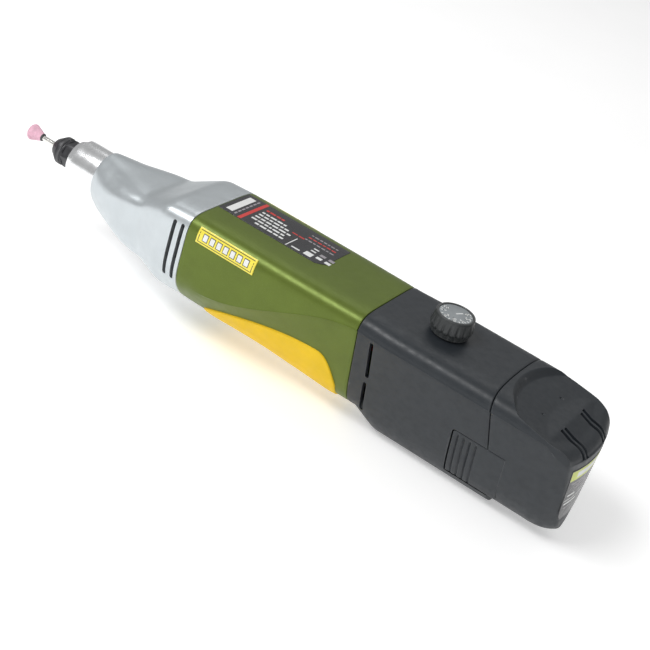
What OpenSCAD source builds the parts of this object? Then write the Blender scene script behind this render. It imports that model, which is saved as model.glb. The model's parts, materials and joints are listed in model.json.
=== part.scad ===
// Cordless die grinder with a straight spindle, a clamping collar and a plug-in battery.
// Millimetres. X runs along the tool: the bit points to -X and the battery is at +X.
// Z is up, through the speed dial. The origin is on the spindle axis, at the middle of the collar.

/* [Body] */
// Length of the metal head behind the collar
head_len = 60; // [54:1:72]
// Length of the motor housing
motor_len = 82; // [78:1:98]
// Length of the rear housing at the top
rear_len = 56.7; // [53:0.5:70]
// Length of the battery's visible part
pack_len = 38.3; // [34:0.5:46]
// Half of the body's width at its widest
half_w = 23.7; // [22.5:0.1:28]
// Height of the body's top above the spindle axis
top_h = 18.3; // [17.6:0.1:22]
// Depth of the motor housing's underside below the axis
motor_drop = 29.3; // [26:0.1:35]
// Depth of the rear housing's underside below the axis
rear_drop = 37.2; // [32:0.1:44]
// Thickness of the housing walls
wall = 2.2; // [1.8:0.1:2.6]

/* [Collar] */
// Diameter of the clamping collar
collar_d = 20; // [19:0.5:24]
// Length of the clamping collar
collar_len = 13; // [11:0.5:15]
// Length of the tapered nose in front of the collar
nose_len = 3; // [2:0.1:3.5]

/* [Spindle] */
// Diameter of the spindle
spindle_d = 7; // [6.6:0.1:7.4]
// Outer diameter of the spindle bearings
bearing_d = 14; // [13.6:0.1:15]
// Width of a spindle bearing
bearing_w = 5; // [4:0.5:6]
// Diameter of the collet nut
nut_d = 12.6; // [11:0.2:14]
// Visible length of the collet nut
nut_len = 12; // [11:0.5:14]
// Diameter of the bit's shank
shank_d = 2.35; // [2.2:0.05:3]
// Visible length of the shank between the nut and the stone
shank_gap = 8.5; // [6:0.5:16]
// Largest diameter of the grinding stone
stone_d = 6.8; // [5:0.2:10]
// Length of the grinding stone
stone_len = 7.2; // [5:0.2:10]

/* [Motor] */
// Outer diameter of the motor
motor_d = 30.4; // [27:0.2:32]
// Length of the motor can
can_len = 56; // [52:1:60]
// Diameter of the motor shaft
shaft_d = 5; // [4:0.2:5.6]
// Diameter of the cooling fan
fan_d = 29; // [24:0.5:30]

/* [Controls] */
// Diameter of the speed dial
dial_d = 16.6; // [14:0.2:18]
// Height of the speed dial
dial_h = 8.4; // [6:0.2:10]
// Distance from the motor housing's rear edge to the dial
dial_set = 26.3; // [25:0.1:28]

/* [Battery] */
// Diameter of a battery cell
cell_d = 14.2; // [13.6:0.1:15]
// Length of a battery cell
cell_len = 50; // [46:0.5:51]
// Lean of the seam between the housing and the battery
seam_lean = 0.2; // [0.1:0.02:0.26]

/* [Hidden] */
$fn = 64;

// Points round one body section.
sides = 48;
// Running clearance of a shaft or thread, per side.
run_gap = 0.05;
// Clearance between separate moving bodies, per side.
move_gap = 0.4;
// Air gap between pieces that only lie close.
air = 0.3;
// How far a cutter passes beyond the face that it cuts.
over = 1;

// Places along X.
collar_front = -collar_len / 2;
collar_rear = collar_len / 2;
nose_front = collar_front - nose_len;
head_front = collar_rear + 0.5;
head_seam = collar_rear + head_len;
motor_seam = head_seam + motor_len;
pack_seam = motor_seam + rear_len;
pack_end = pack_seam + pack_len;
dial_x = motor_seam + dial_set;

// ---- Section of the body -------------------------------------------------
// s runs 0..1 between two places; ease() starts and stops softly.
function frac(x, a, b) = min(1, max(0, (x - a) / (b - a)));
function ease(s) = s * s * (3 - 2 * s);
function mix(a, b, s) = a + (b - a) * s;

// Corner power of the head's round front and of the squared body.
round_power = 2;
corner_power = 6.5;
// The head's front half-width, top and depth, where it meets the collar.
front_r = collar_d / 2 + 0.9;
front_drop = collar_d / 2 + 2.6;
barrel_top = 0.6 * top_h;
// The head's depth where it meets the motor housing.
seam_drop = motor_drop - 3.3;
// The side crease's height and the slope of the side below it, at each seam.
crease_low = -12;
crease_high = 12;
slope_front = 38;
slope_rear = 18;
slope_pack = 19.5;
// Where the rear housing flares from the motor housing's depth to its own.
flare_from = motor_seam + 2;
flare_to = motor_seam + 15;
// Narrowing of the motor housing at its rear seam.
waist = 0.8;

function head_s(x) = frac(x, head_front, head_seam);
function body_s(x) = frac(x, head_seam, motor_seam);
function flare_s(x) = ease(frac(x, flare_from, flare_to));
function taper_s(x) = frac(x, pack_end - 13, pack_end);
function crease_s(x) = ease(pow(body_s(x), 1.2));

function in_head(x) = x < head_seam;
function half_width(x) = in_head(x)
    ? mix(front_r, half_w, 1 - pow(1 - head_s(x), 2.2))
    : half_w - waist * pow(body_s(x), 4) * (1 - flare_s(x)) - 7.5 * pow(taper_s(x), 1.7);
function top_z(x) = in_head(x)
    ? mix(barrel_top, top_h, ease(frac(head_s(x), 0.45, 0.86)))
    : top_h - 2.5 * pow(taper_s(x), 2);
function bottom_z(x) = in_head(x)
    ? mix(front_drop, seam_drop, 1 - pow(1 - head_s(x), 2.5))
    : x > pack_seam + 2
        ? rear_drop - pack_rise - 2.6 * pow(taper_s(x), 3)
        : mix(mix(seam_drop, motor_drop, min(1, 1.6 * body_s(x))), rear_drop, flare_s(x));
function slope(x) = in_head(x)
    ? slope_front * head_s(x)
    : mix(mix(slope_front, slope_rear, crease_s(x)), slope_pack, flare_s(x));
function crease_z(x) = in_head(x)
    ? crease_low * head_s(x)
    : mix(crease_low, crease_high, crease_s(x)) - 8 * taper_s(x);
function power(x) = mix(round_power, corner_power, ease(frac(head_s(x), 0.15, 0.85)));
// The battery's underside sits this much above the housing's.
pack_rise = 2.7;

// Radius of the section at angle a, inset by t. Above the crease the side is upright.
function lower_d(x) = half_width(x) * cos(slope(x)) - crease_z(x) * sin(slope(x));
function side_term(x, a, t, cap) =
    max(abs(cos(a)) / (half_width(x) - t),
        (abs(cos(a)) * cos(slope(x)) - sin(a) * sin(slope(x))) / (lower_d(x) - t));
function section_r(x, a, t, cap) = let (p = power(x)) pow(
    pow(max(0, sin(a)) / (min(cap, top_z(x)) - t), p)
    + pow(max(0, -sin(a)) / (bottom_z(x) - t), p)
    + pow(max(0, side_term(x, a, t, cap)), p), -1 / p);
no_cap = 1000;

// One ring of points at x, inset by t; lean tips it back towards its lower side.
function ring(x, t, lean = 0, cap = no_cap, at = undef) =
    let (q = at == undef ? x : at)
    [for (i = [0:sides - 1]) let (a = 360 * i / sides, r = section_r(q, a, t, cap))
        [x + lean * (top_z(q) - r * sin(a)), r * cos(a), r * sin(a)]];

// Closed solid through a list of rings, capped at both ends.
module loft(rings) {
    n = len(rings);
    points = [for (r = rings) for (p = r) p];
    walls = [for (k = [0:n - 2]) for (i = [0:sides - 1]) let (j = (i + 1) % sides)
        each [[k * sides + i, (k + 1) * sides + j, k * sides + j],
              [k * sides + i, (k + 1) * sides + i, (k + 1) * sides + j]]];
    front = [[for (i = [0:sides - 1]) i]];
    back = [[for (i = [0:sides - 1]) n * sides - 1 - i]];
    polyhedron(points, concat(walls, front, back), convexity = 8);
}
// Tube through a closed loop of rings, open at both ends.
module tube_loft(rings) {
    n = len(rings);
    points = [for (r = rings) for (p = r) p];
    faces = [for (k = [0:n - 1]) for (i = [0:sides - 1])
        let (j = (i + 1) % sides, m = (k + 1) % n)
        each [[k * sides + i, m * sides + j, k * sides + j],
              [k * sides + i, m * sides + i, m * sides + j]]];
    polyhedron(points, faces, convexity = 8);
}
function reverse(v) = [for (i = [len(v) - 1:-1:0]) v[i]];
function steps(a, b, n) = [for (i = [0:n]) mix(a, b, i / n)];

// ---- Helpers --------------------------------------------------------------
// Cylinder along X from a to b.
module rod(a, b, r, r_end = undef) {
    translate([a, 0, 0])
        rotate([0, 90, 0])
            cylinder(h = b - a, r1 = r, r2 = r_end == undef ? r : r_end);
}
module pipe(a, b, r_out, r_in) {
    difference() {
        rod(a, b, r_out);
        rod(a - over, b + over, r_in);
    }
}
// Box from one corner to the other.
module span(lo, hi) {
    translate(lo)
        cube(hi - lo);
}
// Slot with round ends through a side wall, along a line in the XZ plane.
module side_slot(x, z_lo, z_hi, lean, width) {
    translate([x, 0, (z_lo + z_hi) / 2])
        rotate([0, -lean, 0])
            for (side = [-1, 1])
                translate([0, side * half_w, 0])
                    rotate([90, 0, 0])
                        linear_extrude(24, center = true) {
                            square([width, z_hi - z_lo - width], center = true);
                            for (end = [-1, 1])
                                translate([0, end * (z_hi - z_lo - width) / 2])
                                    circle(width / 2);
                        }
}

// ---- Head -----------------------------------------------------------------
// Sizes shared by the bearing tube, the bearings and the spacer.
front_seat = collar_front + 0.5;
tube_end = head_front + 0.56 * head_len;
rear_seat = tube_end - bearing_w - 2;
tube_r = collar_d / 2 - 0.5;
nose_step = 2.9;
throat_r = spindle_d / 2 + 1.1;
head_wall = wall + 0.3;
vent_w = 1.7;
vent_pitch = 4;
vent_top = 13.3;
vent_bottom = -12.5;
head_vent_x = head_seam - 6.5;
// Screw lugs in the head's corners, as [y, z].
lugs = [[half_w - 5.7, top_h - 6], [half_w - 7.6, 12 - seam_drop]];
lug_r = 3;
lug_len = 9;
plate_x = head_seam + 1.5;
screw_r = 1.25;
screw_head_r = 2;
screw_head_t = 1.8;

module head_shell() {
    outer = [for (x = concat(steps(head_front, head_seam - 10, 10), [head_seam - 4, head_seam]))
        ring(x, 0, at = min(x, head_seam - 0.01))];
    inner = [for (x = concat(steps(head_front + 5, head_seam - 10, 6), [head_seam]))
        ring(x, head_wall, at = min(x, head_seam - 0.01))];
    loft(concat(outer, reverse(inner)));
}
module at_lugs() {
    for (side = [-1, 1])
        for (lug = lugs)
            translate([0, side * lug[0], lug[1]])
                children();
}
module head_casting() {
    color([0.76, 0.79, 0.81])
        difference() {
            union() {
                head_shell();
                at_lugs()
                    rod(head_seam - lug_len, head_seam, lug_r);
            }
            rod(head_front - over, tube_end, tube_r);
            for (i = [0, 1])
                side_slot(head_vent_x + i * vent_pitch, vent_bottom, vent_top, 0, vent_w);
            at_lugs()
                rod(head_seam - lug_len + 2, head_seam + over, screw_r);
        }
}
// Turned sleeve with the clamping collar outside and the bearing seats inside.
module clamp_collar() {
    color([0.83, 0.84, 0.85])
        difference() {
            union() {
                rod(nose_front, collar_front, collar_d / 2 - nose_step, collar_d / 2);
                rod(collar_front, head_front, collar_d / 2);
                rod(head_front, tube_end, tube_r);
            }
            rod(nose_front - over, tube_end + over, throat_r);
            rod(front_seat, tube_end + over, bearing_d / 2);
        }
}
module head_screws() {
    color([0.55, 0.55, 0.57])
        at_lugs()
            difference() {
                union() {
                    rod(head_seam - lug_len + 3, plate_x + plate_t, screw_r);
                    rod(can_x, can_x + screw_head_t, screw_head_r);
                }
                rod(can_x + 0.8, can_x + screw_head_t + over, 1.2);
            }
}

// ---- Spindle bearings -----------------------------------------------------
ball_pitch = (spindle_d + bearing_d) / 4;
ball_r = (bearing_d - spindle_d) / 2 * 0.3;
ball_count = 8;
race_lip = 0.35 * ball_r;

module race_groove(at) {
    translate([at + bearing_w / 2, 0, 0])
        rotate([0, 90, 0])
            rotate_extrude()
                translate([ball_pitch, 0])
                    circle(ball_r + run_gap, $fn = 32);
}
module outer_race(at) {
    color([0.72, 0.73, 0.75])
        difference() {
            pipe(at, at + bearing_w, bearing_d / 2, ball_pitch + race_lip);
            race_groove(at);
        }
}
module inner_race(at) {
    color([0.72, 0.73, 0.75])
        difference() {
            pipe(at, at + bearing_w, ball_pitch - race_lip, spindle_d / 2);
            race_groove(at);
        }
}
module bearing_balls(at) {
    color([0.85, 0.86, 0.88])
        for (i = [0:ball_count - 1])
            rotate([360 * i / ball_count, 0, 0])
                translate([at + bearing_w / 2, 0, ball_pitch])
                    sphere(ball_r, $fn = 24);
}
module front_bearing_outer() outer_race(front_seat);
module front_bearing_inner() inner_race(front_seat);
module front_bearing_balls() bearing_balls(front_seat);
module rear_bearing_outer() outer_race(rear_seat);
module rear_bearing_inner() inner_race(rear_seat);
module rear_bearing_balls() bearing_balls(rear_seat);
module bearing_spacer() {
    color([0.6, 0.6, 0.62])
        pipe(front_seat + bearing_w, rear_seat, bearing_d / 2 - 0.02, bearing_d / 2 - 1.2);
}
module retaining_ring() {
    color([0.3, 0.3, 0.32])
        difference() {
            pipe(rear_seat + bearing_w, rear_seat + bearing_w + 1, bearing_d / 2 - 0.02,
                bearing_d / 2 - 1.2);
            span([rear_seat, -1.5, 0], [tube_end, 1.5, bearing_d]);
        }
}
module dust_washer() {
    color([0.2, 0.2, 0.21])
        pipe(nose_front + 1, front_seat - air, throat_r - air, spindle_d / 2);
}

// ---- Spindle, collet, nut and bit ----------------------------------------
nut_rear = nose_front - air;
nut_front = nut_rear - nut_len;
spindle_nose = nut_front + 4.6;
spindle_end = tube_end + 6;
collet_r = spindle_d / 2 - 1.1;
collet_len = 13;
collet_front = nut_front + 0.8;
mouth_len = 2;
mouth_r = collet_r + 0.6;
nut_mouth_r = 2;
shank_r = shank_d / 2;
shank_grip = 26;
stone_rear = nut_front - shank_gap;

module spindle() {
    color([0.66, 0.67, 0.69])
        difference() {
            rod(spindle_nose, spindle_end, spindle_d / 2);
            rod(spindle_nose - over, nut_front + shank_grip + 2, collet_r + run_gap);
            rod(spindle_nose - 0.01, spindle_nose + mouth_len, mouth_r + run_gap,
                collet_r + run_gap);
        }
}
module collet() {
    color([0.45, 0.45, 0.47])
        difference() {
            union() {
                rod(collet_front + 1.4, collet_front + collet_len, collet_r);
                rod(collet_front + 1.4, spindle_nose, mouth_r);
                rod(spindle_nose, spindle_nose + mouth_len, mouth_r, collet_r);
                rod(collet_front, collet_front + 1.4, nut_mouth_r - run_gap, mouth_r);
            }
            rod(collet_front - over, collet_front + collet_len + over, shank_r + run_gap);
            span([collet_front - over, -0.2, -4], [collet_front + 9, 0.2, 4]);
            span([collet_front - over, -4, -0.2], [collet_front + 9, 4, 0.2]);
        }
}
// Half the distance across the nut's wrench flats.
nut_flat = nut_d * 0.44;
module collet_nut() {
    color([0.17, 0.17, 0.18])
        difference() {
            union() {
                rod(nut_front, nut_front + 4.4, nut_d * 0.29, nut_d * 0.45);
                rod(nut_front + 4.4, nut_front + 5.4, nut_d * 0.45, nut_d / 2);
                rod(nut_front + 5.4, nut_rear, nut_d / 2);
            }
            rod(nut_front - over, nut_rear + over, nut_mouth_r);
            rod(collet_front - run_gap, collet_front + 1.4, nut_mouth_r, mouth_r + run_gap);
            rod(collet_front + 1.4 - 0.01, spindle_nose, mouth_r + run_gap);
            rod(spindle_nose - 0.6, nut_rear + over, spindle_d / 2 + run_gap);
            translate([nut_front + 6.4, 0, 0])
                rotate([0, 90, 0])
                    rotate_extrude()
                        translate([nut_d / 2 + 0.2, 0])
                            circle(0.6, $fn = 24);
            for (a = [0:60:300])
                rotate([a, 0, 0])
                    span([nut_front + 7.6, -nut_d, nut_flat], [nut_rear + over, nut_d, nut_d]);
        }
}
module bit_shank() {
    color([0.8, 0.81, 0.82])
        rod(stone_rear - stone_len * 0.6, nut_front + shank_grip, shank_r);
}
module grinding_stone() {
    color([0.89, 0.72, 0.78])
        translate([stone_rear, 0, 0])
            rotate([0, -90, 0])
                difference() {
                    rotate_extrude()
                        polygon([[0, 0], [stone_d * 0.22, 0], [stone_d * 0.3, stone_len * 0.08],
                            [stone_d * 0.48, stone_len * 0.62], [stone_d * 0.5, stone_len * 0.72],
                            [stone_d * 0.44, stone_len * 0.86], [stone_d * 0.28, stone_len * 0.96],
                            [0, stone_len]]);
                    translate([0, 0, -over])
                        cylinder(h = stone_len * 0.6 + over, r = shank_r);
                }
}
module coupling() {
    color([0.5, 0.42, 0.3])
        difference() {
            rod(tube_end + 1, fan_x - 2, 6);
            rod(tube_end, shaft_front, spindle_d / 2);
            rod(spindle_end, fan_x, shaft_d / 2);
        }
}

// ---- Motor ----------------------------------------------------------------
plate_t = 2;
can_x = plate_x + plate_t;
can_end = can_x + can_len;
can_wall = 1.2;
can_in = motor_d / 2 - can_wall;
magnet_in = can_in - 2.6;
core_r = magnet_in - 0.5;
core_x = can_x + 9;
core_len = can_len * 0.5;
comm_x = core_x + core_len + 7;
comm_len = 7;
comm_r = 4.4;
shaft_front = spindle_end + 1.5;
shaft_end = can_end + 6;
fan_x = head_seam - 11;
fan_len = 8.5;
bell_t = 3;
bush_r = 5;

module motor_plate() {
    color([0.7, 0.71, 0.72])
        translate([plate_x, 0, 0])
            rotate([90, 0, 90])
                linear_extrude(plate_t)
                    difference() {
                        polygon([for (p = ring(plate_x, wall + air)) [p[1], p[2]]]);
                        circle(shaft_d / 2 + 1);
                        for (side = [-1, 1])
                            for (lug = lugs)
                                translate([side * lug[0], lug[1]])
                                    circle(screw_r);
                        for (a = [0:60:300])
                            rotate(a)
                                translate([9.5, 0])
                                    circle(3);
                    }
}
module motor_can() {
    color([0.62, 0.63, 0.65])
        difference() {
            rod(can_x, can_end, motor_d / 2);
            rod(can_x + can_wall, can_end + over, can_in);
            rod(can_x - over, can_x + 2 * can_wall, shaft_d / 2 + 1);
            for (a = [45:90:315])
                rotate([a, 0, 0])
                    translate([0, 0, 9])
                        rod(can_x - over, can_x + 2 * can_wall, 2.2);
        }
}
module magnets() {
    color([0.16, 0.16, 0.17])
        for (side = [0, 180])
            rotate([side + 25, 0, 0])
                translate([core_x - 2, 0, 0])
                    rotate([90, 0, 90])
                        rotate_extrude(angle = 130)
                            translate([magnet_in, 0])
                                square([can_in - magnet_in - 0.02, core_len + 4]);
}
module motor_shaft() {
    color([0.8, 0.8, 0.82])
        rod(shaft_front, shaft_end, shaft_d / 2);
}
module rotor_core() {
    color([0.5, 0.5, 0.52])
        difference() {
            pipe(core_x, core_x + core_len, core_r, shaft_d / 2);
            for (i = [0:4])
                rotate([72 * i, 0, 0]) {
                    translate([0, 0, core_r * 0.68])
                        rod(core_x - over, core_x + core_len + over, core_r * 0.2);
                    span([core_x - over, -0.7, core_r * 0.68],
                        [core_x + core_len + over, 0.7, core_r + over]);
                }
        }
}
module windings() {
    color([0.72, 0.4, 0.2]) {
        pipe(core_x - 4, core_x - run_gap, core_r * 0.92, shaft_d / 2 + 1);
        pipe(core_x + core_len + run_gap, core_x + core_len + 4, core_r * 0.92, shaft_d / 2 + 1);
        for (i = [0:4])
            rotate([72 * i, 0, 0])
                translate([0, 0, core_r * 0.68])
                    rod(core_x - 2, core_x + core_len + 2, core_r * 0.2 - 0.02);
    }
}
module commutator() {
    color([0.8, 0.52, 0.3])
        difference() {
            pipe(comm_x, comm_x + comm_len, comm_r, shaft_d / 2);
            for (i = [0:4])
                rotate([72 * i + 20, 0, 0])
                    span([comm_x - over, -0.2, comm_r - 0.6],
                        [comm_x + comm_len + over, 0.2, comm_r + over]);
        }
}
module fan() {
    color([0.13, 0.13, 0.14]) {
        pipe(fan_x, fan_x + fan_len, 5.4, shaft_d / 2);
        pipe(fan_x, fan_x + 1.2, fan_d / 2, 5.2);
        for (i = [0:9])
            rotate([36 * i, 0, 0])
                translate([fan_x + 1.1, 0, 5.2])
                    rotate([0, 0, 12])
                        span([0, -0.5, 0], [fan_len - 2, 0.5, fan_d / 2 - 6.4]);
    }
}
module end_bell() {
    color([0.12, 0.12, 0.13])
        difference() {
            union() {
                rod(can_end, can_end + bell_t, motor_d / 2);
                rod(can_end - 2, can_end, can_in - 0.02);
                rod(can_end + bell_t, can_end + bell_t + 3.5, bush_r + 1.4);
            }
            rod(can_end - 2 - over, can_end + bell_t + 3.5 + over, shaft_d / 2 + run_gap);
            for (side = [-1, 1])
                span([can_end - 2 - over, side > 0 ? 6 : -12, -3],
                    [can_end + bell_t + over, side > 0 ? 12 : -6, 3]);
        }
}
brush_w = 3;
brush_h = 4;
module brush_holders() {
    color([0.75, 0.6, 0.3])
        for (side = [0, 180])
            rotate([side, 0, 0])
                difference() {
                    span([comm_x + 1, 6, -brush_h / 2 - 0.6],
                        [can_end - 2, can_in - 1, brush_h / 2 + 0.6]);
                    span([comm_x + 2, 6 - over, -brush_h / 2 - 0.02],
                        [comm_x + 2 + brush_w, can_in, brush_h / 2 + 0.02]);
                }
}
module brushes() {
    color([0.2, 0.2, 0.2])
        for (side = [0, 180])
            rotate([side, 0, 0])
                span([comm_x + 2.02, comm_r + air, -brush_h / 2],
                    [comm_x + 1.98 + brush_w, can_in - 3, brush_h / 2]);
}
module motor_leads() {
    color([0.5, 0.1, 0.1])
        for (side = [-1, 1])
            translate([0, side * 8.5, 0]) {
                rod(can_end + bell_t, board_x + 3, 0.8);
                translate([board_x + 3, 0, -0.8])
                    cylinder(h = board_z + 0.8, r = 0.8);
            }
}

// ---- Motor housing --------------------------------------------------------
spigot_t = 1.5;
spigot_len = 8;
rib_w = 2.5;
rib_x = [can_x + 6, can_end - 8];
pin_r = 1.5;
pin_y = 7;
pin_x = motor_seam + spigot_len / 2;

module motor_housing() {
    s_out = wall + air;
    outer = [for (x = steps(head_seam, motor_seam, 9)) ring(x, 0)];
    spigot = [ring(motor_seam, s_out), ring(motor_seam + spigot_len, s_out, at = motor_seam)];
    inner = [for (x = concat(steps(head_seam, motor_seam - 6, 7), [motor_seam]))
        ring(x, x < motor_seam - 1 ? wall : s_out + spigot_t)];
    lip = [ring(motor_seam + spigot_len, s_out + spigot_t, at = motor_seam)];
    color([0.38, 0.46, 0.19])
        difference() {
            union() {
                tube_loft(concat(outer, spigot, lip, reverse(inner)));
                difference() {
                    for (x = rib_x)
                        loft([ring(x, wall / 2), ring(x + rib_w, wall / 2)]);
                    rod(rib_x[0] - over, rib_x[1] + rib_w + over, motor_d / 2 + 0.02);
                    for (x = rib_x)
                        span([x - over, -10, -motor_drop], [x + rib_w + over, 10, -motor_d / 2 - 2]);
                }
            }
            for (side = [-1, 1])
                translate([pin_x, side * pin_y, -rear_drop])
                    cylinder(h = rear_drop - 5, r = pin_r);
        }
}

// Strip of skin on the body between two angles, used for the soft grips.
pad_from = head_seam + 12.5;
pad_to = motor_seam - 5.5;
pad_steps = 18;
pad_t = 0.7;
// Glue line under the grips, plates and labels.
skin_gap = 0.12;
pad_cols = 8;
function pad_s(i) = i / pad_steps;
// Height of the pad's upper edge along the tool: a leaf with a blunt rear end.
function pad_top(s) = -20.5 + 11.7 * pow(sin(90 * min(1, s / 0.84)), 0.75)
    - (s > 0.84 ? 13 * pow((s - 0.84) / 0.16, 2.2) : 0);
pad_low = -88;
function angle_at(x, z) = -atan2(-z, (lower_d(x) + z * sin(slope(x))) / cos(slope(x)));
function pad_point(x, a, t) = let (r = section_r(x, a, -t, no_cap)) [x, r * cos(a), r * sin(a)];
module grip_strip() {
    rows = [for (i = [0:pad_steps]) let (x = mix(pad_from, pad_to, pad_s(i)),
        a1 = angle_at(x, pad_top(pad_s(i)))) [x, a1]];
    n = pad_cols + 1;
    low = [for (r = rows) for (j = [0:pad_cols])
        pad_point(r[0], mix(pad_low, r[1], j / pad_cols), skin_gap)];
    high = [for (r = rows) for (j = [0:pad_cols])
        pad_point(r[0], mix(pad_low, r[1], j / pad_cols), pad_t)];
    m = len(low);
    skin = [for (i = [0:pad_steps - 1]) for (j = [0:pad_cols - 1])
        let (a = i * n + j, b = a + 1, c = a + n, d = c + 1)
        each [[a, b, d], [a, d, c], [m + a, m + d, m + b], [m + a, m + c, m + d]]];
    sides_long = [for (i = [0:pad_steps - 1]) let (a = i * n, c = a + n)
        each [[a, c, m + c], [a, m + c, m + a],
              [a + pad_cols, m + a + pad_cols, m + c + pad_cols],
              [a + pad_cols, m + c + pad_cols, c + pad_cols]]];
    e = pad_steps * n;
    ends = [for (j = [0:pad_cols - 1])
        each [[j, m + j, m + j + 1], [j, m + j + 1, j + 1],
              [e + j, e + j + 1, m + e + j + 1], [e + j, m + e + j + 1, m + e + j]]];
    polyhedron(concat(low, high), concat(skin, sides_long, ends), convexity = 6);
}
module grip_pad_right() {
    color([0.9, 0.74, 0.15])
        grip_strip();
}
module grip_pad_left() {
    color([0.9, 0.74, 0.15])
        mirror([0, 1, 0])
            grip_strip();
}

// Plate that follows the body's skin over a patch of angles.
module skin_plate(x0, x1, a0, a1, t, nx, na) {
    n = na + 1;
    low = [for (i = [0:nx]) for (j = [0:na])
        pad_point(mix(x0, x1, i / nx), mix(a0, a1, j / na), skin_gap)];
    high = [for (i = [0:nx]) for (j = [0:na])
        pad_point(mix(x0, x1, i / nx), mix(a0, a1, j / na), t)];
    m = len(low);
    skin = [for (i = [0:nx - 1]) for (j = [0:na - 1])
        let (a = i * n + j, b = a + 1, c = a + n, d = c + 1)
        each [[a, b, d], [a, d, c], [m + a, m + d, m + b], [m + a, m + c, m + d]]];
    long = [for (i = [0:nx - 1]) let (a = i * n, c = a + n)
        each [[a, c, m + c], [a, m + c, m + a],
              [a + na, m + a + na, m + c + na], [a + na, m + c + na, c + na]]];
    e = nx * n;
    ends = [for (j = [0:na - 1])
        each [[j, m + j, m + j + 1], [j, m + j + 1, j + 1],
              [e + j, e + j + 1, m + e + j + 1], [e + j, m + e + j + 1, m + e + j]]];
    polyhedron(concat(low, high), concat(skin, long, ends), convexity = 6);
}
plate_front = head_seam + 5;
plate_len = 28.5;
plate_low = 22;
plate_high = 36;
module name_plate_right() {
    color([0.88, 0.8, 0.25])
        skin_plate(plate_front, plate_front + plate_len, plate_low, plate_high, 0.5, 8, 4);
}
module name_plate_left() {
    color([0.88, 0.8, 0.25])
        mirror([0, 1, 0])
            skin_plate(plate_front, plate_front + plate_len, plate_low, plate_high, 0.5, 8, 4);
}
label_len = 52;
label_low = 51;
label_high = 106;
module rating_label() {
    color([0.1, 0.1, 0.11])
        skin_plate(head_seam + 0.5, head_seam + 0.5 + label_len, label_low, label_high, 0.25, 10, 8);
}

// ---- Rear housing and controls -------------------------------------------
notch_x = pack_seam - 9.7;
notch_end = pack_seam + 14;
notch_top = -6.3;
notch_bottom = -26;
notch_in = 6;
slit = 0.5;
board_x = motor_seam + 10;
board_len = 24;
board_t = 1.2;
board_z = top_h - wall - 3.2;
pot_size = 9;
pot_h = 4.5;
pot_shaft_r = 2;
dial_gap = 0.5;

module rear_housing() {
    outer = concat([ring(motor_seam, 0), ring(flare_from, 0)],
        [for (x = steps(flare_from + 3, flare_to, 4)) ring(x, 0)],
        [ring(pack_seam - 24, 0), ring(pack_seam, 0, seam_lean)]);
    inner = concat([ring(motor_seam, wall), ring(flare_from, wall)],
        [for (x = steps(flare_from + 3, flare_to, 4)) ring(x, wall)],
        [ring(pack_seam - 24, wall), ring(pack_seam, wall, seam_lean)]);
    color([0.24, 0.25, 0.27])
        difference() {
            tube_loft(concat(outer, reverse(inner)));
            side_slot(motor_seam + 7.9, -4.4, 9.4, 5, vent_w);
            side_slot(motor_seam + 10.3, -18.8, -6.8, 6, vent_w);
            translate([dial_x, 0, top_h - wall - over])
                cylinder(h = wall + 2 * over, r = pot_shaft_r + air);
            for (side = [-1, 1]) {
                span([notch_x, side > 0 ? notch_in : -half_w - over, notch_bottom],
                    [notch_end + 8, side > 0 ? half_w + over : -notch_in, notch_top]);
                translate([pin_x, side * pin_y, -rear_drop - over])
                    cylinder(h = rear_drop, r = pin_r + 0.02);
            }
        }
}
module housing_screws() {
    color([0.35, 0.35, 0.37])
        for (side = [-1, 1])
            translate([pin_x, side * pin_y, -motor_drop + 0.6])
                difference() {
                    cylinder(h = 9, r = pin_r);
                    translate([-pin_r, -0.3, -over])
                        cube([2 * pin_r, 0.6, over + 0.8]);
                }
}
module control_board() {
    color([0.1, 0.35, 0.2])
        difference() {
            union() {
                span([board_x, -11, board_z], [board_x + board_len, 11, board_z + board_t]);
                span([board_x + 2, -7, board_z - 3], [board_x + 8, -1.5, board_z]);
                span([board_x + 2, 3, board_z - 2], [board_x + 9, 7, board_z]);
            }
            translate([dial_x, 0, board_z - over])
                cylinder(h = board_t + 2 * over, r = pot_shaft_r + air);
        }
}
module speed_pot() {
    color([0.15, 0.25, 0.5])
        difference() {
            span([dial_x - pot_size / 2, -pot_size / 2, board_z - pot_h],
                [dial_x + pot_size / 2, pot_size / 2, board_z]);
            translate([dial_x, 0, board_z - pot_h + 1])
                cylinder(h = pot_h, r = pot_shaft_r + run_gap);
        }
}
module pot_shaft() {
    color([0.85, 0.85, 0.85])
        translate([dial_x, 0, board_z - pot_h + 1])
            cylinder(h = top_h + dial_gap + 4 - board_z + pot_h - 1, r = pot_shaft_r);
}
dial_disc_t = 0.8;
module dial_knob() {
    r = dial_d / 2;
    color([0.12, 0.12, 0.13])
        translate([dial_x, 0, top_h + dial_gap])
            difference() {
                rotate_extrude()
                    polygon([[0, 0], [r - 0.3, 0], [r, 0.3], [r, dial_h - 0.9],
                        [r - 0.6, dial_h], [0, dial_h]]);
                translate([0, 0, -over])
                    cylinder(h = 4 + over, r = pot_shaft_r);
                translate([0, 0, dial_h - dial_disc_t])
                    cylinder(h = dial_disc_t + over, r = r - 1.2);
                for (i = [0:23])
                    rotate([0, 0, 15 * i])
                        translate([r + 0.25, 0, 0.8])
                            cylinder(h = dial_h - 2.4, r = 0.6, $fn = 16);
            }
}
module dial_disc() {
    color([0.5, 0.52, 0.54])
        translate([dial_x, 0, top_h + dial_gap + dial_h - dial_disc_t])
            cylinder(h = dial_disc_t - 0.2, r = dial_d / 2 - 1.2);
}

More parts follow.
